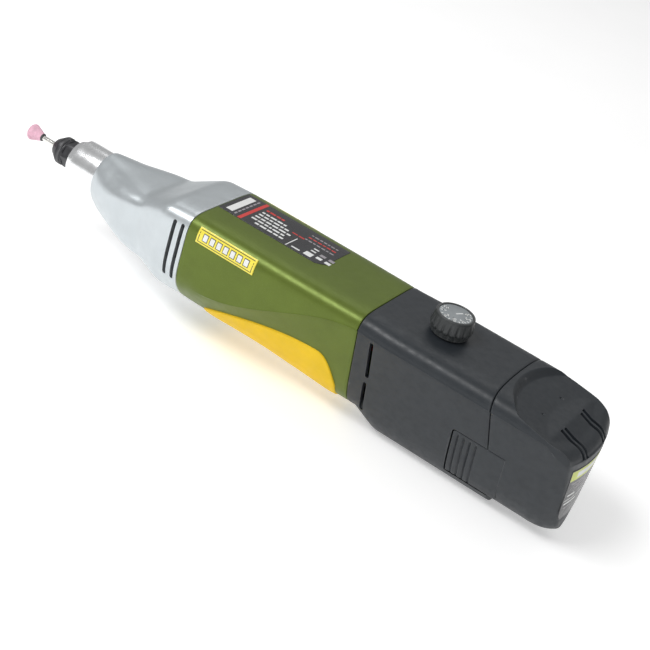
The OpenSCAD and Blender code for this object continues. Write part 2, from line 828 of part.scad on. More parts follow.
// ---- Battery --------------------------------------------------------------
cell_x = pack_seam - 22;
sleeve_x = cell_x - 3;
sleeve_end = pack_seam + 6;
sleeve_t = 1.4;
sleeve_top = top_h - 5.9;
cell_roof = sleeve_top - sleeve_t;
cell_top = cell_roof - 0.7 - cell_d / 2;
cell_y = cell_d / 2 + 0.15;
cell_low = cell_top - sqrt(pow(2 * cell_y, 2) - pow(cell_y, 2));
sleeve_in = wall + move_gap;
block_x = sleeve_x - 8;
scoop_x = pack_seam + 4;
scoop_angle = 11.5;
scoop_depth = 1;
scoop_wall = 1.6;
case_in = sleeve_in - run_gap;
// The casing's section at the seam, and where its rings stand upright again.
pack_at = pack_seam + 2.1;
upright_x = pack_seam + seam_lean * (top_h + rear_drop) + 1.5;
// Height of the hollow's roof, under the scooped top.
function scoop_z(x) = top_h - scoop_depth - (x - scoop_x) * tan(scoop_angle);
function roof(x) = scoop_z(x) - scoop_wall + case_in;

module scoop() {
    translate([scoop_x, 0, top_h - scoop_depth])
        rotate([0, scoop_angle, 0])
            span([0, -half_w - over, 0], [2 * pack_len, half_w + over, 20]);
}
module battery_casing() {
    outer = concat([ring(pack_seam + air, 0, seam_lean, at = pack_at)],
        [for (x = [upright_x, pack_end - 13, pack_end - 8, pack_end - 4, pack_end - 2, pack_end])
            ring(x, x == pack_end ? 1.6 : 0)]);
    inner = concat([ring(pack_seam + air, case_in, seam_lean, at = pack_at)],
        [for (x = [upright_x, pack_end - 13, pack_end - 8, pack_end - 4])
            ring(x, case_in, cap = roof(x))]);
    color([0.24, 0.25, 0.27])
        difference() {
            loft(concat(reverse(inner), outer));
            scoop();
            for (side = [-1, 1])
                span([notch_x, side > 0 ? notch_in : -half_w - over, notch_bottom],
                    [notch_end, side > 0 ? half_w + over : -notch_in, notch_top]);
            for (side = [-1, 1])
                for (i = [0, 1])
                    translate([pack_end - 9, side * (9 + 3 * i), scoop_z(pack_end - 9) - 1])
                        rotate([0, scoop_angle, 0])
                            span([-3, -0.6, 0], [4, 0.6, 20]);
        }
}
module battery_sleeve() {
    outer = [for (x = [sleeve_x, pack_seam - 9, sleeve_end])
        ring(x, sleeve_in, 0, sleeve_top + sleeve_in, at = pack_at)];
    inner = [for (x = [sleeve_x + sleeve_t, pack_seam - 9, sleeve_end])
        ring(x, sleeve_in + sleeve_t, 0, sleeve_top + sleeve_in, at = pack_at)];
    color([0.2, 0.2, 0.22])
        difference() {
            loft(concat(outer, reverse(inner)));
            for (side = [-1, 1]) {
                span([notch_x - 2, side > 0 ? notch_in - 1 : -half_w, notch_bottom - 1],
                    [sleeve_end + over, side > 0 ? half_w : 1 - notch_in, notch_top + 1]);
                span([sleeve_x - over, side * 6 - 1, -8], [sleeve_x + sleeve_t + over, side * 6 + 1, -1]);
            }
        }
}
module battery_cells() {
    color([0.2, 0.35, 0.6])
        for (c = [[-cell_y, cell_top], [cell_y, cell_top], [0, cell_low]])
            translate([0, c[0], c[1]])
                rod(cell_x, cell_x + cell_len, cell_d / 2);
}
module cell_links() {
    color([0.75, 0.74, 0.7]) {
        span([cell_x + cell_len, -cell_y - 3, cell_top - 2.5],
            [cell_x + cell_len + 0.3, cell_y + 3, cell_top + 2.5]);
        span([cell_x + cell_len, -3, cell_low - 2.5],
            [cell_x + cell_len + 0.3, 3, cell_low + 2.5]);
    }
}
module battery_board() {
    color([0.1, 0.3, 0.2])
        span([cell_x + 4, -7, cell_roof - 0.6], [cell_x + cell_len - 14, 7, cell_roof - 0.1]);
}
blade_t = 0.8;
blade_z = [-7, -2];
module contact_block() {
    color([0.14, 0.14, 0.15])
        difference() {
            span([block_x, -11, -14], [sleeve_x - 1.2, 11, 6]);
            for (side = [-1, 1])
                span([block_x - over, side * 6 - blade_t / 2, blade_z[0]],
                    [sleeve_x, side * 6 + blade_t / 2, blade_z[1]]);
        }
}
module contact_blades() {
    color([0.82, 0.7, 0.45])
        for (side = [-1, 1])
            span([block_x - 3, side * 6 - blade_t / 2 + 0.01, blade_z[0] + 0.01],
                [sleeve_x + 2, side * 6 + blade_t / 2 - 0.01, blade_z[1] - 0.01]);
}
module battery_terminals() {
    color([0.8, 0.78, 0.72])
        for (side = [-1, 1])
            for (k = [-1, 1])
                span([sleeve_x + sleeve_t + 0.1, side * 6 + (k > 0 ? 0.7 : -1), blade_z[0] + 0.5],
                    [cell_x, side * 6 + (k > 0 ? 1 : -0.7), blade_z[1] - 0.5]);
}
module battery_label() {
    color([0.1, 0.1, 0.11])
        translate([pack_end + 0.02, 0, 0])
            rotate([90, 0, 90])
                linear_extrude(0.3)
                    polygon([[-12, 3.5], [12, 3.5], [9.5, -12], [6.5, -19.5], [-6.5, -19.5],
                        [-9.5, -12]]);
}

// Spring tongue on the battery's flank, cut free on three sides, with flutes to grip.
module latch() {
    outer = [for (x = [notch_x + slit, pack_seam + 4, notch_end - slit]) ring(x, 0, at = pack_at)];
    inner = [for (x = [notch_x + slit, pack_seam + 4, notch_end - slit]) ring(x, wall, at = pack_at)];
    difference() {
        intersection() {
            tube_loft(concat(outer, reverse(inner)));
            span([notch_x, notch_in, notch_bottom + slit], [notch_end, half_w + over, notch_top - slit]);
        }
        for (i = [0:3])
            translate([notch_x + 3.2 + 3 * i, half_w - 0.36 * (crease_high - notch_bottom) + 0.2,
                notch_bottom])
                rotate([-slope_pack, 0, 0])
                    cylinder(h = 19, r = 0.7, $fn = 16);
    }
}
module latch_right() {
    color([0.24, 0.25, 0.27])
        latch();
}
module latch_left() {
    color([0.24, 0.25, 0.27])
        mirror([0, 1, 0])
            latch();
}

clamp_collar();
head_casting();
motor_housing();
rear_housing();
grip_pad_left();
grip_pad_right();
name_plate_left();
name_plate_right();
rating_label();
head_screws();
housing_screws();
front_bearing_outer();
front_bearing_inner();
front_bearing_balls();
rear_bearing_outer();
rear_bearing_inner();
rear_bearing_balls();
bearing_spacer();
retaining_ring();
dust_washer();
spindle();
coupling();
collet();
collet_nut();
bit_shank();
grinding_stone();
motor_plate();
motor_can();
magnets();
end_bell();
brush_holders();
brushes();
motor_shaft();
rotor_core();
windings();
commutator();
fan();
control_board();
speed_pot();
pot_shaft();
dial_knob();
dial_disc();
motor_leads();
contact_block();
contact_blades();
battery_casing();
battery_sleeve();
battery_cells();
cell_links();
battery_terminals();
battery_board();
battery_label();
latch_left();
latch_right();
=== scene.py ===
"""Looks of the cordless die grinder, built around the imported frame.

Lengths are millimetres until a mesh is made, and X runs along the tool as in the frame.
"""

import json
import math

import bmesh
import bpy
import numpy as np
from mathutils import Matrix, Vector


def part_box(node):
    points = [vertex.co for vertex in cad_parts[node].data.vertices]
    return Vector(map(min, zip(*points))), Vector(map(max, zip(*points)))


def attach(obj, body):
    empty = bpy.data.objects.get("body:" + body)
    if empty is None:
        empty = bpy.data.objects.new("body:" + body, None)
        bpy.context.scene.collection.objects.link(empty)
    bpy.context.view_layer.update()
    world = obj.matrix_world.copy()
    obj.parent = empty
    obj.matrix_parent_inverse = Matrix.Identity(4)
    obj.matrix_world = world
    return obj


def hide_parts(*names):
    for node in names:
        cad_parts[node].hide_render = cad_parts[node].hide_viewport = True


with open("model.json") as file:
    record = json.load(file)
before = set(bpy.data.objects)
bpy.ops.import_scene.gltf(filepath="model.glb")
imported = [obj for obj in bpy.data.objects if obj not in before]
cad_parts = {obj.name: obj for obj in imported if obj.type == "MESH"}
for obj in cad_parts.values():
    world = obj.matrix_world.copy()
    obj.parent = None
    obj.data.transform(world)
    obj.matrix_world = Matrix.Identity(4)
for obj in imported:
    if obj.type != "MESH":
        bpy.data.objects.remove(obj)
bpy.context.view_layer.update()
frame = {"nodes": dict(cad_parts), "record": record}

MM = 0.001
X, Y, Z = 0, 1, 2


def reach(node, axis):
    """Lowest and highest place of a CAD node along one axis, in millimetres."""
    lo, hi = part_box(node)
    return lo[axis] / MM, hi[axis] / MM


# ---- Places from the frame ----------------------------------------------------------------
HEAD_FRONT, HEAD_SEAM = reach("head_casting", X)
MOTOR_SEAM = reach("rear_housing", X)[0]
SEAM_GAP = 0.3
PACK_SEAM = reach("battery_casing", X)[0] - SEAM_GAP
PACK_END = reach("battery_casing", X)[1] + 0.8
TOP_H = reach("rear_housing", Z)[1]
REAR_DROP = -reach("rear_housing", Z)[0]
PACK_DROP = -reach("battery_casing", Z)[0]
NOSE_FRONT = reach("clamp_collar", X)[0]
COLLAR_R = reach("clamp_collar", Y)[1]
NUT_FRONT, NUT_REAR = reach("collet_nut", X)
NUT_R = reach("collet_nut", Y)[1]
STONE_FRONT, STONE_REAR = reach("grinding_stone", X)
STONE_R = reach("grinding_stone", Y)[1]
DIAL_FROM, DIAL_TO = reach("dial_knob", X)
DIAL_LOW, DIAL_TOP = reach("dial_knob", Z)
LATCH_FRONT, LATCH_REAR = reach("latch_right", X)
LATCH_TOP = reach("latch_right", Z)[1]
DISC_LOW = reach("dial_disc", Z)[0]
PAD_FRONT, PAD_REAR = reach("grip_pad_right", X)
PLATE_FRONT, PLATE_REAR = reach("name_plate_right", X)
LABEL_REAR = reach("rating_label", X)[1]
SCREW_X = sum(reach("housing_screws", X)) / 2
SCREW_Y = reach("housing_screws", Y)[1] - 1.5

# Section of the body: half-width, walls and the height of the side crease.
HALF_W = 23.7
WALL = 2.2
BELLY_W = 19.0
BELLY_DROP = 21.8
FRONT_R = COLLAR_R + 0.9
FRONT_DROP = COLLAR_R + 2.6
BARREL_TOP = 0.6 * TOP_H
SEAM_DROP = 26.0
MOTOR_DROP = 29.3
TAPER_LEN = 13.0
LEAN = 0.2
SEAM_BOW = 0.0022
ARC_R = 36.0
SCOOP_X = PACK_SEAM + 2.1
SCOOP_DROP = 2.1
SCOOP_RAMP = 3.2
SCOOP_SLOPE = math.tan(math.radians(10.6))
REAR_ROUND = 4.5
CROWN = 0.008
CROWN_X = PACK_END - 12.5
LEDGE = 0.42
BEAD = 0.17
LATCH_SLIT = 0.5
TONGUE_LOW = 6.2 - REAR_DROP
NOTCH_REAR = LATCH_REAR + 0.02


# ---- Section of the body ------------------------------------------------------------------
def mix(a, b, s):
    return a + (b - a) * s


def frac(x, a, b):
    return np.clip((x - a) / (b - a), 0.0, 1.0)


def ease(s):
    return s * s * (3 - 2 * s)


def body_s(x):
    return frac(x, HEAD_SEAM, MOTOR_SEAM)


def flare_s(x):
    return ease(frac(x, MOTOR_SEAM + 2, MOTOR_SEAM + 15))


def taper_s(x):
    return frac(x, PACK_END - TAPER_LEN, PACK_END)


def crease_s(x):
    return ease(body_s(x) ** 1.2)


def ramp(x, a, b, soft):
    """Straight rise from 0 at a to 1 at b, with both corners rounded."""

    def corner(t):
        return np.where(t > soft, t, np.where(t < -soft, 0.0, (t + soft) ** 2 / (4 * soft)))

    return (corner(x - a) - corner(x - b)) / (b - a)


def half_width(x):
    belly = mix(FRONT_R, BELLY_W, 1 - (1 - frac(x, HEAD_FRONT, 34)) ** 2.2)
    head = belly + (HALF_W - BELLY_W) * ramp(x, 40.5, 53, 1.6)
    body = HALF_W - 0.8 * body_s(x) ** 4 * (1 - flare_s(x)) - 6.4 * taper_s(x) ** 1.5
    return np.where(x < HEAD_SEAM, head, body)


def top_z(x):
    rise = mix(BARREL_TOP, TOP_H - 0.7, ramp(x, 39, 53.5, 2.2)) + 0.7 * frac(x, 53.5, HEAD_SEAM - 1)
    return np.where(x < HEAD_SEAM, rise, TOP_H)


def bottom_z(x):
    belly = mix(FRONT_DROP, BELLY_DROP, 1 - (1 - frac(x, HEAD_FRONT, 36)) ** 2.2)
    head = belly + (SEAM_DROP - BELLY_DROP) * ease(frac(x, 38, 60))
    body = mix(mix(SEAM_DROP, MOTOR_DROP, np.minimum(1, 1.6 * body_s(x))), REAR_DROP, flare_s(x))
    return np.where(x < HEAD_SEAM, head, body)


def side_tilt(x):
    head = 38 * frac(x, HEAD_FRONT, HEAD_SEAM)
    body = mix(mix(38, 18, crease_s(x)), 19.5, flare_s(x))
    return np.radians(np.where(x < HEAD_SEAM, head, body))


def crease_z(x):
    head = -12 * frac(x, HEAD_FRONT, HEAD_SEAM)
    body = mix(-12, 12, crease_s(x)) - 8 * taper_s(x)
    return np.where(x < HEAD_SEAM, head, body)


def corner_power(x):
    return mix(2.0, 6.5, ease(frac(frac(x, HEAD_FRONT, HEAD_SEAM), 0.15, 0.85)))


def crease_power(x):
    """How sharply the upright and the sloping side meet: soft on the head, crisp behind it."""
    return mix(14.0, 260.0, frac(x, HEAD_SEAM + 4, HEAD_SEAM + 30) ** 2)


def skin_radius(x, angle, inset=0.0, drop=None):
    """Distance from the spindle axis to the skin; angle 0 is the side and a right angle the top."""
    width = half_width(x)
    tilt = side_tilt(x)
    lower = width * np.cos(tilt) - crease_z(x) * np.sin(tilt)
    low = bottom_z(x) if drop is None else drop
    across, up = np.abs(np.cos(angle)), np.sin(angle)
    upright = across / (width - inset)
    sloped = np.maximum(0, across * np.cos(tilt) - up * np.sin(tilt)) / (lower - inset)
    q = crease_power(x)
    high = np.maximum(upright, sloped)
    side = high * ((upright / high) ** q + (sloped / high) ** q) ** (1 / q)
    p = corner_power(x)
    top = np.maximum(0, up) / (top_z(x) - inset)
    under = np.maximum(0, -up) / (low - inset)
    return (top**p + under**p + side**p) ** (-1 / p)


def seam_shift(y, z):
    """How far the seam in front of the battery lies behind its place at the top."""
    return LEAN * (TOP_H - z) + SEAM_BOW * y * y


def upright(s, y, z):
    return np.full(np.shape(y), float(s))


def even(line, count, first=None, last=None):
    """The line again with that many equal steps, its first or last step of a given length."""
    steps = np.linalg.norm(np.diff(line, axis=0), axis=1)
    run = np.concatenate([[0], np.cumsum(steps)])
    a = first or 0.0
    b = run[-1] - (last or 0.0)
    inner = np.linspace(a, b, count + 1 - bool(first) - bool(last))
    want = np.concatenate([[0] if first else [], inner, [run[-1]] if last else []])
    return np.stack([np.interp(want, run, line[:, k]) for k in range(3)], axis=1)


UP_STEPS = 40
LOW_STEPS = 46
CREASE_BAND = 0.3


def dense_halves(s, place, inset=0.0, drop=None):
    """Two fine lines down one side of the section: top to crease, and crease to underside."""
    x = float(s)
    for _ in range(3):
        knee = math.atan2(float(crease_z(x)), float(half_width(x)))
        x = float(place(s, np.array(half_width(x)), np.array(crease_z(x))))
    lines = []
    for a0, a1 in ((math.pi / 2, knee), (knee, -math.pi / 2)):
        angle = np.linspace(a0, a1, 300)
        at = np.full(angle.shape, float(s))
        for _ in range(3):
            r = skin_radius(at, angle, inset, drop)
            at = place(s, r * np.cos(angle), r * np.sin(angle))
        lines.append(np.stack([at, r * np.cos(angle), r * np.sin(angle)], axis=1))
    return lines


def ledged(low, ledge):
    """The lower side, set in a little under the crease."""
    out = low.copy()
    depth = low[0, 2] - low[:, 2]
    out[1:, 1] -= ledge * (1 - frac(depth[1:], 4, 26)) * frac(depth[1:], 0, 0.25)
    return out


def mirrored(half):
    """A whole ring from the half with y above 0."""
    other = half[-2:0:-1].copy()
    other[:, 1] *= -1
    return np.concatenate([half, other])


def ledge_at(x):
    return LEDGE * ease(frac(x, HEAD_SEAM + 8, HEAD_SEAM + 26)) * (1 - frac(x, PACK_END - 12, PACK_END - 6))


def ring(s, inset=0.0, place=upright, drop=None):
    up, low = dense_halves(s, place, inset, drop)
    low = ledged(even(low, LOW_STEPS, first=CREASE_BAND), ledge_at(s) if inset < 1 else 0.0)
    up = even(up, UP_STEPS, last=CREASE_BAND)
    up[-1, 1] += BEAD * ledge_at(s) / LEDGE if inset < 1 else 0.0
    return mirrored(np.concatenate([up, low[1:]]))


def edge_rings(s_end, side, place=upright, round_r=0.5):
    """Rings that round a shell's end edge; side is 1 where the shell ends towards +X."""
    out = []
    for k in (0, 1, 2, 3, 4):
        turn = math.radians(22.5 * k)
        s = s_end - side * round_r * (1 - math.sin(turn))
        out.append(ring(s, round_r * (1 - math.cos(turn)), place))
    return out if side > 0 else out[::-1]


# ---- Meshes -------------------------------------------------------------------------------
def add_mesh(name, points, faces, sharp=32.0):
    """An object of that mesh, in metres, smooth but for edges sharper than the angle given."""
    mesh = bpy.data.meshes.new(name)
    mesh.from_pydata([tuple(p) for p in np.asarray(points) * MM], [], faces)
    obj = bpy.data.objects.new(name, mesh)
    bpy.context.scene.collection.objects.link(obj)
    tidy(obj, sharp)
    return obj


def tidy(obj, sharp=32.0):
    shape = bmesh.new()
    shape.from_mesh(obj.data)
    bmesh.ops.remove_doubles(shape, verts=shape.verts, dist=1e-7)
    bmesh.ops.dissolve_degenerate(shape, edges=shape.edges, dist=1e-7)
    bmesh.ops.recalc_face_normals(shape, faces=shape.faces)
    shape.to_mesh(obj.data)
    shape.free()
    obj.data.shade_smooth()
    obj.data.set_sharp_from_angle(angle=math.radians(sharp))


def grid_faces(rows, columns, wrap_rows, wrap_columns, start=0):
    faces = []
    for i in range(rows if wrap_rows else rows - 1):
        for j in range(columns if wrap_columns else columns - 1):
            a, b = i, (i + 1) % rows
            c, d = j, (j + 1) % columns
            corners = (a * columns + c, a * columns + d, b * columns + d, b * columns + c)
            faces.append(tuple(start + n for n in corners))
    return faces


def slab_faces(rows, columns, start=0):
    """Closed slab from two grids of points, the second straight after the first."""
    gap = rows * columns
    faces = grid_faces(rows, columns, False, False, start)
    faces += [tuple(reversed(f)) for f in grid_faces(rows, columns, False, False, start + gap)]
    rim = [(0, j) for j in range(columns)]
    rim += [(i, columns - 1) for i in range(1, rows)]
    rim += [(rows - 1, j) for j in range(columns - 2, -1, -1)]
    rim += [(i, 0) for i in range(rows - 2, 0, -1)]
    ids = [start + i * columns + j for i, j in rim]
    return faces + [(a, b, gap + b, gap + a) for a, b in zip(ids, ids[1:] + ids[:1])]


def loft(name, rings, tube=False, sharp=32.0):
    """Solid through rings: closed on itself when tube is true, otherwise capped at both ends."""
    rows, columns = len(rings), len(rings[0])
    faces = grid_faces(rows, columns, tube, True)
    if not tube:
        faces.append(tuple(range(columns)))
        faces.append(tuple(range((rows - 1) * columns, rows * columns)))
    return add_mesh(name, np.concatenate(rings), faces, sharp)


def turned(name, outline, centre=(0, 0), steps=128, axis=X, radius=None, sharp=28.0):
    """Turned solid from an outline of [place along the axis, radius]; radius(angle, r, place) may vary it."""
    angle = np.linspace(0, 2 * math.pi, steps, endpoint=False)
    rings = []
    for at, r in outline:
        reach_r = np.full(steps, float(r)) if radius is None else radius(angle, r, at)
        a, b = centre[0] + reach_r * np.cos(angle), centre[1] + reach_r * np.sin(angle)
        along = np.full(steps, float(at))
        rings.append(np.stack([along, a, b] if axis == X else [a, b, along], axis=1))
    return loft(name, rings, sharp=sharp)


def arc(centre, r, a0, a1, steps=6):
    """Points of an arc as [x, y], angles in degrees."""
    turns = np.radians(np.linspace(a0, a1, steps + 1))
    return [(centre[0] + r * math.cos(t), centre[1] + r * math.sin(t)) for t in turns]


def stadium(length, width, steps=10):
    """Outline of a slot with round ends, long along its second coordinate."""
    r, h = width / 2, (length - width) / 2
    return arc((0, h), r, 0, 180, steps) + arc((0, -h), r, 180, 360, steps)


def prism(name, outline, to_space, depth):
    """Solid from a flat outline; to_space(u, v, w) gives the point, with w from 0 to depth."""
    n = len(outline)
    points = [to_space(u, v, w) for w in (0, depth) for u, v in outline]
    faces = [tuple(range(n)), tuple(range(2 * n - 1, n - 1, -1))]
    faces += [(i, (i + 1) % n, n + (i + 1) % n, n + i) for i in range(n)]
    return add_mesh(name, points, faces)


def cut(obj, tools, sharp=32.0):
    """Takes the tools' shapes away from obj, and removes the tools."""
    for tool in tools:
        step = obj.modifiers.new("cut", "BOOLEAN")
        step.operation, step.solver, step.object = "DIFFERENCE", "MANIFOLD", tool
    bpy.context.view_layer.update()
    graph = bpy.context.evaluated_depsgraph_get()
    mesh = bpy.data.meshes.new_from_object(obj.evaluated_get(graph))
    obj.modifiers.clear()
    obj.data = mesh
    for tool in tools:
        bpy.data.objects.remove(tool)
    tidy(obj, sharp)
    return obj


# ---- Skin patches: x along the tool, v the way round from the middle of the top -----------
def skin_line(x):
    """A fine line down the section from the top's middle, and the distance along it."""
    up, low = dense_halves(x, upright)
    low = ledged(low, float(ledge_at(x)))
    line = np.concatenate([up, low[1:]])
    run = np.concatenate([[0], np.cumsum(np.linalg.norm(np.diff(line, axis=0), axis=1))])
    return line, run


def on_skin(x, v, lift):
    """Points on the section at x, each lifted off the skin; v below 0 is the -Y side."""
    line, run = skin_line(x)
    v = np.asarray(v, float)
    away = np.abs(v)
    y, z = np.interp(away, run, line[:, 1]), np.interp(away, run, line[:, 2])
    step = 0.3
    y0, z0 = np.interp(away - step, run, line[:, 1]), np.interp(away - step, run, line[:, 2])
    y1, z1 = np.interp(away + step, run, line[:, 1]), np.interp(away + step, run, line[:, 2])
    y0 = np.where(away < step, -y1, y0)
    ty, tz = y1 - y0, z1 - z0
    size = np.hypot(ty, tz)
    side = np.where(v < 0, -1, 1)
    y, z = y - lift * tz / size, z + lift * ty / size
    return np.stack([np.full(v.shape, float(x)), side * y, z], axis=1)


def way_to(x, z):
    """The distance round the skin from the top's middle down to height z on the side."""
    line, run = skin_line(x)
    return float(np.interp(-z, -line[:, 2], run))


def spaced(a, b, count, fine):
    """Places from a to b that crowd towards both ends, the first steps about fine long."""
    ends = np.array([0, 0.25, 0.6, 1.1, 1.8, 2.8]) * fine
    middle = np.linspace(ends[-1], abs(b - a) - ends[-1], max(2, count - 2 * len(ends) + 2))
    way = np.concatenate([ends[:-1], middle, (abs(b - a) - ends[:-1])[::-1]])
    return a + np.sign(b - a) * way


def pad_solid(name, x0, x1, low, high, thick, edge, columns, rows, crown=0.0, groove=None, sink=0.3):
    """Soft-edged pad on the skin from x0 to x1, between the ways low(x) and high(x) round it."""
    xs = spaced(x0, x1, rows, edge)
    outside, inside = [], []
    for x in xs:
        v = spaced(low(x), high(x), columns, edge)
        gap = np.minimum(np.minimum(np.abs(v - v[0]), np.abs(v - v[-1])), min(x - xs[0], xs[-1] - x))
        near = 1 - np.minimum(1, gap / edge)
        height = thick * np.sqrt(np.maximum(0, 1 - near**2)) + crown * ease(np.minimum(1, gap / (6 * edge)))
        if groove is not None:
            height = height - groove(x, v) * np.minimum(1, gap / edge)
        outside.append(on_skin(x, v, height))
        inside.append(on_skin(x, v, np.full(v.shape, -sink)))
    faces = slab_faces(len(outside), len(outside[0]))
    return add_mesh(name, np.concatenate(outside + inside), faces, sharp=50)


def stickers(name, patches, inks, base, thick=0.04):
    """Thin printed shapes on the skin as one object; a patch is [x0, x1, v0, v1, place in inks]."""
    points, faces, picks = [], [], []
    for x0, x1, v0, v1, pick in patches:
        xs = np.linspace(x0, x1, max(2, int(abs(x1 - x0) / 3) + 2))
        vs = np.linspace(v0, v1, max(2, int(abs(v1 - v0) / 1.5) + 2))
        start = len(points)
        for lift in (base - 0.1, base + thick):
            for x in xs:
                points.extend(on_skin(x, vs, np.full(vs.shape, lift)))
        new = slab_faces(len(xs), len(vs), start)
        faces += new
        picks += [pick] * len(new)
    mesh = bpy.data.meshes.new(name)
    mesh.from_pydata([tuple(p) for p in np.asarray(points) * MM], [], faces)
    obj = bpy.data.objects.new(name, mesh)
    bpy.context.scene.collection.objects.link(obj)
    dress(obj, *inks)
    mesh.polygons.foreach_set("material_index", picks)
    shape = bmesh.new()
    shape.from_mesh(mesh)
    bmesh.ops.recalc_face_normals(shape, faces=shape.faces)
    shape.to_mesh(mesh)
    shape.free()
    return obj


# ---- Materials ----------------------------------------------------------------------------
def finish(name, colour, rough, metal=0.0, mottle=0.06, patch=7.0, grain=0.35, depth=0.004,
           spread=0.08, coat=0.0, coat_rough=0.15, lines=None, painted_edge_highlight_and_wear=0.0, fleck=0.0, sheen=0.0, specular=0.5):
    """Procedural material. patch and grain are the sizes of its colour clouds and of its grain in mm,
    depth the grain's height in mm, lines the [axis, pitch, depth] of tool marks, and the edge paleness amount
    says how much paler convex edges are painted: a painted highlight along edges, partly edge wear."""
    material = bpy.data.materials.new(name)
    material.use_nodes = True
    tree = material.node_tree
    shader = tree.nodes["Principled BSDF"]
    shader.inputs["Metallic"].default_value = metal
    shader.inputs["Coat Weight"].default_value = coat
    shader.inputs["Coat Roughness"].default_value = coat_rough
    shader.inputs["Sheen Weight"].default_value = sheen
    shader.inputs["Specular IOR Level"].default_value = specular
    place = tree.nodes.new("ShaderNodeTexCoord").outputs["Object"]

    def noise(size, detail):
        node = tree.nodes.new("ShaderNodeTexNoise")
        node.inputs["Scale"].default_value = 1 / (size * MM)
        node.inputs["Detail"].default_value = detail
        tree.links.new(place, node.inputs["Vector"])
        return node.outputs["Fac"]

    def spread_to(value, low, high, start=0.3, stop=0.7):
        node = tree.nodes.new("ShaderNodeMapRange")
        for key, number in (("From Min", start), ("From Max", stop), ("To Min", low), ("To Max", high)):
            node.inputs[key].default_value = number
        tree.links.new(value, node.inputs["Value"])
        return node.outputs["Result"]

    def blend(amount, first, second):
        node = tree.nodes.new("ShaderNodeMix")
        node.data_type = "RGBA"
        tree.links.new(amount, node.inputs["Factor"])
        for socket, value in (("A", first), ("B", second)):
            target = [i for i in node.inputs if i.name == socket and i.type == "RGBA"][0]
            if isinstance(value, tuple):
                target.default_value = (*value, 1)
            else:
                tree.links.new(value, target)
        return [o for o in node.outputs if o.type == "RGBA"][0]

    dark = tuple(c * (1 - mottle) for c in colour)
    pale = tuple(min(1, c * (1 + mottle)) for c in colour)
    tone = blend(spread_to(noise(patch, 4), 0, 1), dark, pale)
    if fleck:
        spark = spread_to(noise(grain, 1), 0, fleck, 0.58, 0.72)
        tone = blend(spark, tone, tuple(min(1, 0.25 + 1.5 * c) for c in colour))
    # Convex edges are painted paler by pointiness: a painted highlight along edges, partly edge wear.
    if painted_edge_highlight_and_wear:
        edge_highlight_and_wear_mask = spread_to(tree.nodes.new("ShaderNodeNewGeometry").outputs["Pointiness"], 0, painted_edge_highlight_and_wear, 0.52, 0.60)
        tone = blend(edge_highlight_and_wear_mask, tone, tuple(mix(c, 0.8, 0.45) for c in colour))
    tree.links.new(tone, shader.inputs["Base Color"])
    rough_map = spread_to(noise(patch * 0.4, 5), rough - spread, rough + spread)
    tree.links.new(rough_map, shader.inputs["Roughness"])
    bump = tree.nodes.new("ShaderNodeBump")
    bump.inputs["Distance"].default_value = depth * MM
    tree.links.new(noise(grain, 3), bump.inputs["Height"])
    if lines:
        axis, pitch, groove = lines
        wave = tree.nodes.new("ShaderNodeTexWave")
        wave.bands_direction = axis
        wave.inputs["Scale"].default_value = 1 / (pitch * MM * 20 * math.pi) * 2 * math.pi
        wave.inputs["Distortion"].default_value = 0.6
        wave.inputs["Detail"].default_value = 2
        tree.links.new(place, wave.inputs["Vector"])
        marks = tree.nodes.new("ShaderNodeBump")
        marks.inputs["Distance"].default_value = groove * MM
        tree.links.new(wave.outputs["Fac"], marks.inputs["Height"])
        tree.links.new(marks.outputs["Normal"], bump.inputs["Normal"])
    tree.links.new(bump.outputs["Normal"], shader.inputs["Normal"])
    return material
